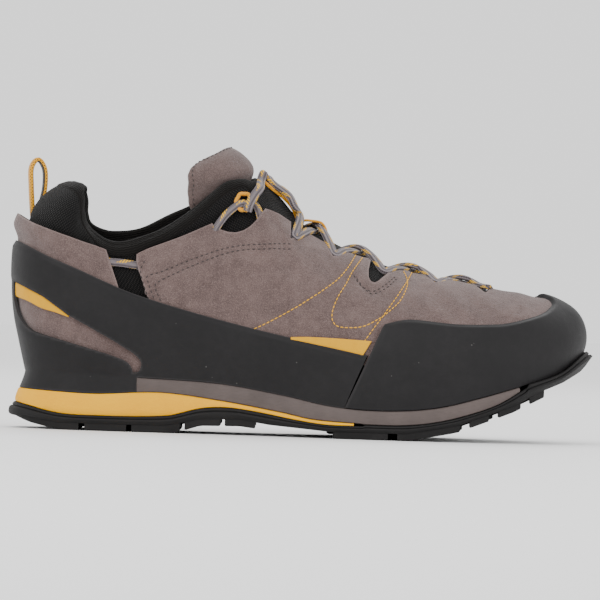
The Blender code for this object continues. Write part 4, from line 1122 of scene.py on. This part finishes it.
def makeCollarLining():
    across = evenColumns(-collar["liningEnd"], collar["liningEnd"], collar["cell"], 0.9)
    count = len(across)
    up = unit(lastPoint(across, 1.0) - lastPoint(across, 0.985))
    tall = np.linalg.norm(lastPoint(across, 1.0) - lastPoint(across, 0.9), axis=1) / 0.1
    edge = collarEdge(across)
    lines = []
    top = rimTop(across)
    low = np.maximum(top - collar["band"] / tall, np.minimum(edge, 0.985))
    for step in np.linspace(0, 1, 7):
        t = low + (top - low) * step
        lift = collar["lift"] + puffAt(across, t, edge) + 0.0005 * ease(step * 6) - 0.0004 * (step > 0.9)
        lines.append(rimShift(skin(across, t, lift), t))
    outer = lines[-1]
    within = collar["lift"] - collar["wall"] - collar["liningGap"]
    inner = rimShift(skin(across, top, np.full(count, within)), top)
    centre = (outer + inner) / 2
    half = (outer - inner) / 2
    taper = 0.3 + 0.7 * ease((8.1 - fromHeel(across)) / 0.9)
    for angle in np.linspace(0, math.pi, 9)[1:-1]:
        rise = collar["roll"] * math.sin(angle) * taper
        lines.append(centre + half * math.cos(angle) + up * rise[:, None])
    lines.append(inner)
    for share in np.linspace(0.985, 0.03, 34):
        t = share * top
        lift = within - 0.0010 * bell((1 - share - 0.12) / 0.08)
        lines.append(rimShift(skin(across, t, np.full(count, lift)), t))
    piece = gridPiece("collarLining", np.stack(lines, 1), finishes["lining"])
    thicken(piece, collar["liningWall"])
    return settle(piece, "mesh", angle=80)


makeCollarMesh()
makeCollarLining()
print("collar ready")

# Tongue: padded suede with a dark lining
tongue = {
    "thick": 0.0050,
    "depth": 0.0103,        # of its centre under the ridge
    "acrossSteps": 36,
    "steps": 9,
    "channel": 0.0006,      # depth, distance from the edge and width of the sewn channel
    "channelIn": 0.0034,
    "channelWidth": 0.0007,
    "pad": 0.0009,
    "seamSide": 0.965,      # share of the half-width at which the stitches run
    "seamLift": 0.0002,
    "fill": 0.6,            # how tight the padding is
}
# position, height, half, back, down, thick; under the throat, then the head counted from the neck
tongueUnder = [(11.1, 0, 0.135, 0.012, 0.095, 0.45), (10.4, 0, 0.175, 0.022, 0.140, 0.85),
               (9.75, 0, 0.175, 0.050, 0.145, 1.00), (9.1, 0, 0.160, 0.095, 0.120, 1.05)]
tongueHead = [(-0.013, 0.068, 0.190, 0.095, 0.095, 1.05), (-0.011, 0.128, 0.225, 0.097, 0.085, 1.10),
              (-0.025, 0.178, 0.222, 0.084, 0.085, 1.05), (-0.041, 0.211, 0.180, 0.058, 0.075, 0.85),
              (-0.050, 0.221, 0.105, 0.020, 0.030, 0.45)]


def tongueRibs():
    ribs = []
    for at, height, half, back, down, thick in tongueUnder:
        centre = skin(np.array([at]), np.array([1.0]), np.array([-tongue["depth"]]))[0]
        ribs.append([*centre, half, back, down, thick])
    neck = np.array(ribs[-1][:3])
    for forward, height, half, back, down, thick in tongueHead:
        centre = neck + np.array([forward * last["length"], 0, height * last["rise"]])
        ribs.append([*centre, half, back, down, thick])
    return smoothRun(ribs, tongue["steps"])


def tongueLayer(ribs, c):
    bend = (c * c)[None, :]
    x = ribs[:, 0:1] - ribs[:, 4:5] * last["length"] * bend
    y = ribs[:, 1:2] + ribs[:, 3:4] * last["ballWidth"] * c[None, :]
    z = ribs[:, 2:3] - ribs[:, 5:6] * last["rise"] * bend
    return np.stack([x, y, z], -1)


def makeTongue():
    ribs = tongueRibs()
    c = -np.cos(np.linspace(0, math.pi, tongue["acrossSteps"] + 1))
    layer = tongueLayer(ribs, c)
    sideways = tongueLayer(ribs, c + 0.03) - tongueLayer(ribs, c - 0.03)
    run = np.gradient(layer, axis=0)
    out = unit(np.cross(sideways, run))
    wall = tongue["thick"] * ribs[:, 6:7] / 2 * np.sqrt(np.clip(1 - 0.93 * c ** 4, 0, 1))[None, :]
    toEdge = (1 - np.abs(c))[None, :] * ribs[:, 3:4] * last["ballWidth"]
    top = np.arange(len(ribs))[::-1][:, None] * 0.0016
    toEdge = np.minimum(toEdge, top + 0.0006)
    channel = tongue["channel"] * bell((toEdge - tongue["channelIn"]) / tongue["channelWidth"])
    pad = tongue["pad"] * ease((toEdge - 0.0045) / 0.006)
    front = layer + out * (wall + pad - channel)[..., None]
    back = layer - out * wall[..., None]
    columns = np.concatenate([front, back[:, ::-1]], 1)
    points = np.transpose(columns, (1, 0, 2))
    count, rows = points.shape[:2]
    index = np.arange(count * rows).reshape(count, rows)
    piece = gridPiece("tonguePad", points, [finishes["tongueSuede"], finishes["lining"]], close=True)
    mesh = piece.data
    half = count // 2
    with meshEdit(mesh) as bm:
        for row in (0, rows - 1):
            for i in range(half - 1):
                quad = [index[i, row], index[i + 1, row], index[count - 2 - i, row], index[count - 1 - i, row]]
                bm.faces.new([bm.verts[int(k)] for k in quad])
        bmesh.ops.remove_doubles(bm, verts=bm.verts, dist=0.00001)
        bmesh.ops.recalc_face_normals(bm, faces=bm.faces)
    behind = {tuple(np.round(p, 6)) for p in back[:, 1:-1].reshape(-1, 3)}
    for face in mesh.polygons:
        hits = sum(tuple(round(v, 6) for v in mesh.vertices[k].co) in behind for k in face.vertices)
        face.material_index = 1 if hits >= 3 else 0
    settle(piece, "suede", "tongue", angle=70)
    near, far = (np.argmin(np.abs(c - at)) for at in (-tongue["seamSide"], tongue["seamSide"]))
    first, final = 3 * tongue["steps"], len(ribs) - tongue["steps"]

    def alongSeam(grid):
        sides = grid[first:final, near], grid[first:final, far][::-1]
        return np.concatenate([sides[0], grid[final, near + 1:far], sides[1]])
    return alongSeam(front) + alongSeam(out) * tongue["seamLift"]


tongueSeam = makeTongue()
print("tongue ready")


# Sole
sole = {
    "gap": 0.0001,          # between the layers
    "midsoleEnd": 14.4,     # ring positions where the midsole and the wedge end
    "wedgeEnd": 10.25,
    "rimShare": 0.45,       # share of the outsole's edge where it stands out furthest
    "insoleInset": -0.0027,
}


def soleLoft(name, end, rings, finish):
    # closed solid across the sole; each ring is (reach of u, height of x), from the bottom up
    stations = np.linspace(0, end, int(end * 14) + 1)
    whole = end >= last["toe"]
    inner = turns - (stations[1:-1] if whole else stations[1:])
    loop = np.concatenate([stations, inner[::-1]])
    rows = []
    for reach, height in rings:
        base = ringAt(loop)
        place = np.stack([base[:, 0], base[:, 1], 0 * loop], -1) + outward(loop) * reach(loop)[:, None]
        place[:, 2] = height(place[:, 0])
        rows.append(place)
    points = np.stack(rows, 1)
    piece = gridPiece(name, points, finish, close=True)
    count, levels = points.shape[:2]
    with meshEdit(piece.data) as bm:
        for level, up in ((0, False), (levels - 1, True)):
            ids = [i * levels + level for i in range(count)]
            low, high = 1, count - 1
            faces = [(ids[0], ids[1], ids[count - 1])]
            while high - low > 2:
                faces.append((ids[low], ids[low + 1], ids[high - 1], ids[high]))
                low += 1
                high -= 1
            if high - low == 2:
                faces.append((ids[low], ids[low + 1], ids[high]))
            for face in faces:
                order = face if up else tuple(reversed(face))
                bm.faces.new([bm.verts[k] for k in order])
    return piece


def lineHeight(line, lift):
    return lambda x: curveAt(line, x) + lift


def shankFoot(x):
    return np.where(x < wedgeTopLine[-1][0], curveAt(wedgeTopLine, x), curveAt(shankFootLine, x)) + sole["gap"]


def outsoleTop(x):
    ahead = np.where(x < shankFootLine[-1][0], curveAt(shankFootLine, x), curveAt(featherLine, x))
    return np.where(x < wedgeFootLine[-1][0], curveAt(wedgeFootLine, x), ahead) - sole["gap"]


def between(low, high, share):
    return lambda x: low(x) + (high(x) - low(x)) * share


def reachOf(first, second, share, extra=0.0, ledge=ledgeAt):
    return lambda u: ledge(first, u) * (1 - share) + ledge(second, u) * share + extra


def makeMidsole():
    top = lineHeight(featherLine, -0.0002)
    edges = ((0, -0.0008), (0.06, -0.0001), (0.3, 0.0003), (0.6, 0.0004), (0.88, 0.0001), (0.97, -0.0003),
             (1.0, -0.0010))
    rings = [(reachOf("shankBase", "shankTop", share, extra, shankLedge), between(shankFoot, top, share))
             for share, extra in edges]
    settle(soleLoft("midsoleFoam", sole["midsoleEnd"], rings, finishes["grey"]), "grey_foam", "midsole")


def makeWedge():
    low, top = lineHeight(wedgeFootLine, 0.0), lineHeight(wedgeTopLine, 0.0)
    edges = ((0, -0.0006), (0.05, 0.0), (0.3, 0.0004), (0.6, 0.0004), (0.92, 0.0001), (1.0, -0.0005))
    rings = [(reachOf("wedgeBase", "wedgeLip", share, extra), between(low, top, share))
             for share, extra in edges]
    settle(soleLoft("wedgeFoam", sole["wedgeEnd"], rings, finishes["yellow"]), "yellow_foam", "midsole_wedge")


# start and end of each lug, and the half-width of those in the middle
heelLugs = [(0.012, 0.124), (0.134, 0.205), (0.214, 0.296)]
archLugs = [(0.304, 0.365), (0.372, 0.424)]
ballLugs = [(0.556, 0.648), (0.664, 0.770), (0.786, 0.818), (0.834, 0.872), (0.888, 0.912)]
middleLugs = [(0.155, 0.228, 0.12), (0.560, 0.598, 0.17), (0.618, 0.656, 0.22), (0.676, 0.714, 0.24),
              (0.734, 0.768, 0.24), (0.790, 0.820, 0.20)]
# web between the lugs: start, end, half-width, height over the lugs' faces
treadCore = [(0.02, 0.285, 0.17, 0.0016), (0.285, 0.545, 0.15, 0.0030), (0.545, 0.905, 0.20, 0.0016)]
tread = {"depth": 0.017, "bevel": 0.0006, "into": 0.0015, "centreGroove": 0.002, "bend": 0.0022}


def edgeAt(side, x):
    # points of the sole's edge at x
    low = np.zeros_like(x)
    high = np.full_like(x, float(last["toe"]))
    for _ in range(22):
        middle = (low + high) / 2
        u = sidePlace(side, middle)
        behind = ringAt(u)[:, 0] + outward(u)[:, 0] * ledgeAt("outsoleFoot", u) < x
        low = np.where(behind, middle, low)
        high = np.where(behind, high, middle)
    u = sidePlace(side, high)
    return ringAt(u)[:, 1] + outward(u)[:, 1] * ledgeAt("outsoleFoot", u)


def lugInto(bm, outline, inset, raised=0.0):
    # block of tread over an outline in plan, its face on the tread line, with a small bevel
    centre = outline.mean(0)
    size = np.linalg.norm(outline - centre, axis=1).mean()
    levels = []
    for shrink, line, lift in ((inset, treadFaceLine, raised), (0.0, treadFaceLine, inset + raised),
                               (0.0, treadRootLine, tread["into"])):
        flat = centre + (outline - centre) * (1 - shrink / size)
        z = straightAt(line, flat[:, 0]) + lift
        levels.append([bm.verts.new((x, y, h)) for (x, y), h in zip(flat, z)])
    count = len(outline)
    faces = []
    for low, high in zip(levels, levels[1:]):
        for i in range(count):
            j = (i + 1) % count
            faces.append(bm.faces.new((low[i], low[j], high[j], high[i])))
    half = count // 2
    for level in (levels[0], levels[-1]):
        for i in range(half - 1):
            faces.append(bm.faces.new((level[i], level[i + 1], level[count - 2 - i], level[count - 1 - i])))
    bmesh.ops.recalc_face_normals(bm, faces=faces)


def flaredReach(share, extra):
    # the heel's edge stands out furthest at the bottom
    def reach(u):
        part = np.clip(share + ease((2.4 - fromHeel(u)) / 1.6), 0, 1)
        return ledgeAt("outsoleFoot", u) * (1 - part) + ledgeAt("outsoleRim", u) * part + extra
    return reach


def heelLow(x):
    return straightAt(treadRootLine, x) - 0.0026 * ease((-0.046 - x) / 0.010)


def mirrored(x, edge, other):
    # closed outline in plan, out along one edge and back along the other
    return np.concatenate([np.stack([x, edge], 1), np.stack([x, other], 1)[::-1]])


def makeOutsole():
    middle = sole["rimShare"]
    rings = []
    for share, extra in ((0.0, 0.0), (0.15, 0.0003), (middle, 0.0), (0.60, 0.0), (0.66, -0.0006),
                         (0.70, -0.0006), (0.75, 0.0), (0.93, 0.0001), (1.0, -0.0005)):
        if share <= middle:
            reach = flaredReach(share / middle, extra)
        else:
            reach = reachOf("outsoleRim", "outsoleLip", (share - middle) / (1 - middle), extra)
        rings.append((reach, between(heelLow, outsoleTop, share)))
    piece = soleLoft("outsoleTread", last["toe"], rings, finishes["outsole"])
    wide = last["ballWidth"]
    with meshEdit(piece.data) as bm:
        for side in (-1, 1):
            for start, end in heelLugs + archLugs + ballLugs:
                steps = np.linspace(-1, 1, 9)
                x = alongX(np.linspace(start, end, len(steps)))
                y = edgeAt(np.full(len(steps), side), x)
                cutBack = tread["bend"] * np.abs(steps) ** 4
                innerY = side * np.maximum(side * y - tread["depth"] + cutBack, tread["centreGroove"])
                lugInto(bm, mirrored(x, y, innerY), tread["bevel"])
        for start, end, width, gap in treadCore:
            x = alongX(np.linspace(start, end, 15))
            across = width * wide * np.ones(len(x))
            lugInto(bm, mirrored(x, across, -across), tread["bevel"], gap)
        for start, end, width in middleLugs:
            steps = np.linspace(-1, 1, 9)
            across, bend = steps * width * wide, tread["bend"] * np.abs(steps)
            ends = [np.stack([alongX(share) + bend, across], 1) for share in (end, start)]
            lugInto(bm, np.concatenate([ends[0], ends[1][::-1]]), tread["bevel"])
    settle(piece, "outsole_rubber", "outsole", angle=35)


def makeInsole():
    inset = sole["insoleInset"]
    rings = [(lambda u, more=more: np.full(u.shape, inset + more), lineHeight(featherLine, height))
             for more, height in ((0, 0.0003), (0, 0.0030), (-0.0008, 0.0038), (-0.0060, 0.0036))]
    settle(soleLoft("insoleCover", last["toe"], rings, finishes["insole"]), "insole", "insole")


makeMidsole()
makeWedge()
makeOutsole()
makeInsole()
print("sole ready")


# Laces and webbing
def sweep(name, path, up, size, finish, cyclic=False, sides=14, square=2.4):
    # flat round strip along a path; size is (width, thickness)
    path = np.array(path, float)
    up = np.array(up, float)
    run = unit(np.roll(path, -1, 0) - np.roll(path, 1, 0) if cyclic else np.gradient(path, axis=0))
    across = unit(np.cross(up, run))
    lift = np.cross(run, across)
    angle = np.linspace(0, 2 * math.pi, sides + 1)
    cosine, sine = np.cos(angle), np.sin(angle)
    width = size[0] / 2 * np.sign(cosine) * np.abs(cosine) ** (2 / square)
    thick = size[1] / 2 * np.sign(sine) * np.abs(sine) ** (2 / square)
    points = path[:, None] + across[:, None] * width[None, :, None] + lift[:, None] * thick[None, :, None]
    if cyclic:
        points = np.concatenate([points, points[:1]])
    piece = gridPiece(name, points, finish)
    with meshEdit(piece.data) as bm:
        bmesh.ops.remove_doubles(bm, verts=bm.verts, dist=0.000005)
        if not cyclic:
            bmesh.ops.holes_fill(bm, edges=[edge for edge in bm.edges if edge.is_boundary], sides=0)
        bmesh.ops.recalc_face_normals(bm, faces=bm.faces)
    return piece


def onTop(side, x, y):
    # ring position and share of points of the plan view near the ridge, y counted from the centre line
    low = np.full_like(x, 7.5)
    high = np.full_like(x, float(last["toe"]))

    def shareAt(u):
        centre = ringAt(u)[..., 4]

        def test(t):
            return y - np.abs(lastPoint(u, t)[..., 1] - centre)
        return solveShare(test, u)
    for _ in range(18):
        middle = (low + high) / 2
        u = sidePlace(side, middle)
        behind = lastPoint(u, shareAt(u))[..., 0] < x
        low = np.where(behind, middle, low)
        high = np.where(behind, high, middle)
    u = sidePlace(side, high)
    return u, shareAt(u)


lace = {
    "size": (0.0048, 0.0027),
    "under": -0.0008,       # lift of the lower and rise of the upper strand at a crossing
    "over": 0.0027,
    "steps": 7,
    "notchLift": 0.0012,
    "turnLift": -0.0018,    # the strand dips under the edge at a notch
    "firstTurnLift": -0.0016,
    "turnIn": 0.012,
}
seats = [(86.8, 103.2), (107.7, 94.6), (133.2, 86.8), (160.3, 82.2), (186.3, 78.2)]


def spot(side, x, z, lift, deeper=0.0):
    # place and direction of a point of the side view in millimetres
    u, t = onSkin(np.array([side]), np.array([x / 1000]), np.array([z / 1000]))
    return skin(u, t - deeper, np.array([lift / 1000]))[0], lastNormal(u, t)[0]


def seatAt(side, index, lift, deeper=0.0):
    return spot(side, *seats[index], lift * 1000, deeper)


def split(pairs):
    return [place for place, _ in pairs], [up for _, up in pairs]


def crossing(side, index, over):
    # points and directions of one strand, from a notch over the throat to the next one on the other side
    start, startUp = seatAt(side, index, lace["notchLift"])
    end, endUp = seatAt(-side, index + 1, lace["notchLift"])
    share = np.array([0.16, 0.33, 0.5, 0.67, 0.84])
    x = start[0] + (end[0] - start[0]) * share
    centre = last["ballWidth"] * 0.01
    y = start[1] + (end[1] - start[1]) * share
    places, ups = [start], [startUp]
    for xs, ys, s in zip(x, y, share):
        at = side if s < 0.5 else -side
        u, t = onTop(np.array([at]), np.array([xs]), np.array([abs(ys - centre * (xs / 0.12))]))
        hump = lace["under"] + (lace["over"] if over else 0.0) * math.sin(math.pi * s) ** 2 + 0.0003
        places.append(skin(u, t, np.array([hump]))[0])
        ups.append(lastNormal(u, t)[0])
    return places + [end], ups + [endUp]


def turnUnder(places, seat):
    places[-1] = (places[-1] + seat * 2) / 3


def zigzag(side):
    # strands on from the first notch on this side
    places, ups = [], []
    for index in range(len(seats) - 1):
        here = side if index % 2 == 0 else -side
        over = (side > 0) == (index % 2 == 0)
        some, someUps = crossing(here, index, over)
        if places:
            turnUnder(places, seatAt(here, index, lace["turnLift"], lace["turnIn"])[0])
            some, someUps = some[1:], someUps[1:]
        places += some
        ups += someUps
    return places, ups


def free(side, x, y, z, up):
    return np.array([x, side * y, z]) / 1000, np.array(up, float)


def topStrand(side):
    # from the quarter through the ring, over the top of the tongue to the first notch of the other side
    steps = [spot(side, 62.3, 113.6, 1.6), spot(side, 63.0, 115.8, 3.6), spot(side, 65.2, 120.4, 3.4),
             spot(side, 66.9, 124.4, 3.2)]
    high = 0.0 if side < 0 else 1.0
    top = [free(side, 68.6 + 1.5 * high, 5.0, 130.0 - 1.5 * high, (0.3, side * 0.8, 0.4)),
           free(side, 70.2 + 2.6 * high, 1.6, 134.2 - 2.6 * high, (0.5, side * 0.3, 0.8)),
           free(-side, 72.2 + 1.4 * high, 1.4, 130.0 + 0.6 * high, (0.7, -side * 0.2, 0.7)),
           free(-side, 75.6 + 1.0 * high, 3.2, 127.4 + 0.4 * high, (0.4, -side * 0.4, 0.8)),
           free(-side, 79.6, 5.4, 126.0, (0.4, -side * 0.6, 0.8)),
           free(-side, 83.6, 7.6, 122.6, (0.7, -side * 0.6, 0.5)),
           free(-side, 86.2, 9.4, 118.0, (0.8, -side * 0.6, 0.3))]
    down = [spot(-side, 87.4, 112.6, 2.2), spot(-side, 88.0, 108.2, 1.8)]
    seat = seatAt(-side, 0, 0.0008)
    return split(steps + top + down + [seat])


def laceRun(name, places, ups, size=lace["size"]):
    path = smoothRun(places, lace["steps"])
    up = unit(smoothRun(ups, lace["steps"]))
    return sweep(name, path, up, size, finishes["lace"])


# short runs at the quarter and in the gap beside the heel: x, z, lift in millimetres, then the size
shortRuns = {
    "laceQuarter.": (((43.0, 98.5, -2.6), (45.8, 103.2, -1.6), (47.6, 106.4, 0.2), (51.1, 111.2, 0.6),
                      (55.1, 115.0, 0.8), (59.2, 117.3, 1.6), (62.4, 116.9, 1.2), (64.8, 118.6, -0.6),
                      (67.4, 116.9, -1.2), (69.0, 113.4, -1.6), (70.4, 109.5, -3.0)), (0.0040, 0.0024)),
    "laceHeel.": (((-14.5, 87.8, -3.4), (-10.0, 87.0, -2.4), (-5.6, 86.3, -1.5), (-0.6, 85.9, -1.0),
                   (4.6, 85.3, -1.5), (8.8, 84.9, -2.4), (13.5, 84.6, -3.4)), (0.0040, 0.0022)),
}
for side, word in ((-1, "outer"), (1, "inner")):
    places, ups = topStrand(side)
    more, moreUps = zigzag(-side)
    turnUnder(places, seatAt(-side, 0, lace["firstTurnLift"], lace["turnIn"])[0])
    settle(laceRun("lace." + word, places + more[1:], ups + moreUps[1:]), "lace", "laces")
    for title, (line, size) in shortRuns.items():
        settle(laceRun(title + word, *split([spot(side, *place) for place in line]), size), "lace")
print("laces ready")


eyeRing = {"place": (60.4, 118.4, 0.4), "radii": (0.0039, 0.0049), "wave": 0.05, "steps": 48,
           "lift": 0.0004, "size": (0.0021, 0.0019)}
# line, direction and size of each webbing keeper over the tongue
keepers = {
    "rear": (((68.6, 0, 130.8), (71.2, -1, 129.2), (75.0, -2, 126.4), (80.0, -2, 122.8), (84.6, -2, 118.2),
              (87.6, -1, 112.2)), (0.7, -0.15, 0.7), (0.0070, 0.0019)),
    "front": (((87.2, 0, 106.0), (88.6, 0, 108.8), (91.2, 0, 110.6), (95.4, 0, 110.6), (100.0, 0, 109.8),
               (102.4, 0, 107.0), (103.4, 0, 103.0)), (0.3, 0.0, 0.95), (0.0066, 0.0013)),
}


def ringPiece(side, word):
    centre, normal = spot(side, *eyeRing["place"])
    hand = 1 if side < 0 else -1
    level = unit(np.cross(np.array([0, 0, 1.0]), normal)) * hand
    rise = unit(np.cross(normal, level)) * hand
    angle = np.linspace(0, 2 * math.pi, eyeRing["steps"] + 1)[:-1]
    wavy = 1 + eyeRing["wave"] * np.cos(6 * angle)
    wide, tall = eyeRing["radii"]
    path = (centre + level * (wide * wavy * np.cos(angle))[:, None]
            + rise * (tall * wavy * np.sin(angle))[:, None] + normal * eyeRing["lift"])
    ups = np.broadcast_to(normal, path.shape)
    band = sweep("laceRing." + word, path, ups, eyeRing["size"], finishes["web"], True, 12, 3.0)
    settle(band, "ring", "lace_ring_" + word)


for side, word in ((-1, "outer"), (1, "inner")):
    ringPiece(side, word)
for title, (line, up, size) in keepers.items():
    path = smoothRun(np.array(line) / 1000, 6)
    settle(sweep("keeper." + title, path, np.tile(up, (len(path), 1)), size, finishes["web"], square=4.0),
           "webbing")

# Pull loop: a narrow ribbon turned a little out of the heel's plane
loop = {"size": (0.0050, 0.0022), "turn": 16, "foot": -0.0478}
loopLine = [(-0.0474, 0.1040), (-0.0483, 0.1090), (-0.0490, 0.1160), (-0.0496, 0.1240), (-0.0498, 0.1335),
            (-0.0464, 0.1378), (-0.0428, 0.1330), (-0.0424, 0.1240), (-0.0440, 0.1160), (-0.0458, 0.1090)]


def makeLoop():
    turn = math.radians(loop["turn"])
    run = smoothRun([(x - loop["foot"], z) for x, z in loopLine], 8, True)
    path = np.stack([loop["foot"] + run[:, 0] * math.cos(turn), run[:, 0] * math.sin(turn), run[:, 1]], -1)
    step = np.roll(path, -1, 0) - np.roll(path, 1, 0)
    wide = np.array([-math.sin(turn), math.cos(turn), 0])
    ups = unit(np.cross(step, np.broadcast_to(wide, step.shape)))
    ribbon = sweep("pullLoop", path, ups, loop["size"], loopFinish(), True, 20, 4.0)
    settle(ribbon, "webbing", "pull_loop")


def loopFinish():
    # yellow weave with dark dots outside; the inner face painted near-black as painted shade inside the loop
    f = Finish("loopWebbing", Specular_IOR_Level=0.35, Sheen_Weight=0.2)
    s, r = f.uv()
    turn = 2 * math.pi / 0.0017
    dots = ((s * turn).wave() * (r * turn).wave()) * 0.5 + 0.5
    tone = f.mix(dots.step(0.6, 0.8) * 0.9, rgb(226, 160, 22), rgb(22, 17, 10))
    tone = f.mix((1 - dots.step(0.1, 0.4)) * 0.4, tone, rgb(150, 98, 10))
    # painted shade: the ribbon's inner face is coloured near-black for the shadow inside the loop
    inner = r.step(0.0069, 0.0073) * (1 - r.step(0.0110, 0.0114))
    f.colour(f.mix(inner, tone, rgb(12, 11, 10)))
    f.rough(0.75)
    f.bump((dots, 0.0002))
    return f.material


makeLoop()
print("webbing ready")


# Stitches: a Geometry Nodes tree lays one short rod at every step of a curve
def stitchTree():
    tree = bpy.data.node_groups.new("stitchRun", "GeometryNodeTree")
    face = tree.interface
    face.new_socket("Geometry", in_out="INPUT", socket_type="NodeSocketGeometry")
    for title in ("Pitch", "Length", "Width"):
        face.new_socket(title, in_out="INPUT", socket_type="NodeSocketFloat")
    face.new_socket("Finish", in_out="INPUT", socket_type="NodeSocketMaterial")
    face.new_socket("Geometry", in_out="OUTPUT", socket_type="NodeSocketGeometry")
    make = tree.nodes.new
    start, end = make("NodeGroupInput"), make("NodeGroupOutput")
    spread = make("GeometryNodeCurveToPoints")
    spread.mode = "LENGTH"
    rod = make("GeometryNodeMeshUVSphere")
    rod.inputs["Segments"].default_value = 8
    rod.inputs["Rings"].default_value = 5
    rod.inputs["Radius"].default_value = 0.5
    shape = make("ShaderNodeCombineXYZ")
    turn = make("FunctionNodeAlignRotationToVector")
    turn.axis = "X"
    lay = make("GeometryNodeInstanceOnPoints")
    real = make("GeometryNodeRealizeInstances")
    paint = make("GeometryNodeSetMaterial")
    for source, output, target, socket in (
            (start, "Geometry", spread, "Curve"), (start, "Pitch", spread, "Length"),
            (start, "Length", shape, "X"), (start, "Width", shape, "Y"), (start, "Width", shape, "Z"),
            (spread, "Tangent", turn, "Vector"), (spread, "Points", lay, "Points"),
            (rod, "Mesh", lay, "Instance"), (turn, "Rotation", lay, "Rotation"), (shape, "Vector", lay, "Scale"),
            (lay, "Instances", real, "Geometry"), (real, "Geometry", paint, "Geometry"),
            (start, "Finish", paint, "Material"), (paint, "Geometry", end, "Geometry")):
        tree.links.new(source.outputs[output], target.inputs[socket])
    return tree


stitchNodes = stitchTree()
stitch = {
    "yellow": {"Pitch": 0.0023, "Length": 0.0019, "Width": 0.00056},
    "dark": {"Pitch": 0.0027, "Length": 0.0017, "Width": 0.00055},
    "yellowLift": 0.00025,
    "darkLift": 0.00012,
}


def stitchPiece(name, lines, sizes, finish, slot):
    # one mesh of all the stitches along lines of 3D points
    curve = bpy.data.curves.new(name + ".guide", "CURVE")
    curve.dimensions = "3D"
    for line in lines:
        spline = curve.splines.new("POLY")
        spline.points.add(len(line) - 1)
        for point, place in zip(spline.points, line):
            point.co = (*place, 1)
    guide = linked(name + ".guide", curve)
    run = guide.modifiers.new("stitchRun", "NODES")
    run.node_group = stitchNodes
    sockets = {item.name: item.identifier for item in stitchNodes.interface.items_tree
               if item.item_type == "SOCKET" and item.in_out == "INPUT"}
    for title, value in {**sizes, "Finish": finish}.items():
        run[sockets[title]] = value
    mesh = bpy.data.meshes.new_from_object(guide.evaluated_get(bpy.context.evaluated_depsgraph_get()))
    bpy.data.objects.remove(guide)
    mesh.shade_smooth()
    return declare(linked(name, mesh), slot)


def seamOnSkin(line, side, lift):
    dense = smoothRun(line, 14)
    u, t = onSkin(np.full(len(dense), side), dense[:, 0], dense[:, 1])
    return skin(u, t, leatherLift(u, t) + lift)


yellowLines, darkLines = [], []
for side in (-1, 1):
    yellowLines += [seamOnSkin(line, side, stitch["yellowLift"]) for line in yellowSeams]
    darkLines += [seamOnSkin(line, side, stitch["darkLift"]) for line in darkSeams]
darkLines.append(tongueSeam)
stitchPiece("stitches.yellow", yellowLines, stitch["yellow"], finishes["yellowThread"], "webbing")
stitchPiece("stitches.dark", darkLines, stitch["dark"], finishes["darkThread"], "mesh")
print("stitches ready")


# Camera as in the photo: level, far off, rolled a little
photo = {"roll": 1.78, "middle": (0.0905, 0.0697), "across": 0.3087, "distance": 3.0, "sensor": 36}
lens = bpy.data.cameras.new("photoCamera")
lens.sensor_width = photo["sensor"]
lens.lens = photo["sensor"] * photo["distance"] / photo["across"]
lens.clip_end = 60
camera = linked("photoCamera", lens)
camera.matrix_world = (Matrix.Translation((photo["middle"][0], -photo["distance"], photo["middle"][1]))
                       @ Matrix.Rotation(math.radians(90), 4, "X")
                       @ Matrix.Rotation(math.radians(photo["roll"]), 4, "Z"))
bpy.context.scene.camera = camera

studio = {"floor": 9.0, "floorTone": (0.96, 0.96, 0.96, 1), "sky": (1.0, 1.0, 1.0, 1.0),
          "skyStrength": 1.4, "aim": (0.09, 0, 0.05)}
# place, size and power of each light
lights = {
    "keyLight": ((-0.7, -1.5, 1.7), (1.2, 0.9), 17),
    "fillLight": ((1.6, -1.1, 0.9), (1.0, 1.0), 5),
    "backLight": ((0.3, 1.6, 1.5), (1.4, 0.8), 9),
}
world = bpy.data.worlds.new("paleStudio")
bpy.context.scene.world = world
world.use_nodes = True
world.node_tree.nodes["Background"].inputs["Color"].default_value = studio["sky"]
world.node_tree.nodes["Background"].inputs["Strength"].default_value = studio["skyStrength"]


for title, (place, size, power) in lights.items():
    light = bpy.data.lights.new(title, "AREA")
    light.shape = "RECTANGLE"
    light.size, light.size_y = size
    light.energy = power
    lamp = linked(title, light)
    lamp.location = place
    lamp.rotation_mode = "QUATERNION"
    lamp.rotation_quaternion = (Vector(studio["aim"]) - Vector(place)).to_track_quat("-Z", "Y")

floorMesh = bpy.data.meshes.new("paleFloor")
half = studio["floor"]
floorMesh.from_pydata([(-half, -half, 0), (half, -half, 0), (half, half, 0), (-half, half, 0)], [],
                      [(0, 1, 2, 3)])
floorFinish = Finish("paleFloor", Base_Color=studio["floorTone"], Roughness=0.6, Specular_IOR_Level=0.2)
floorMesh.materials.append(floorFinish.material)
floorPiece = linked("paleFloor", floorMesh)
print("studio ready")
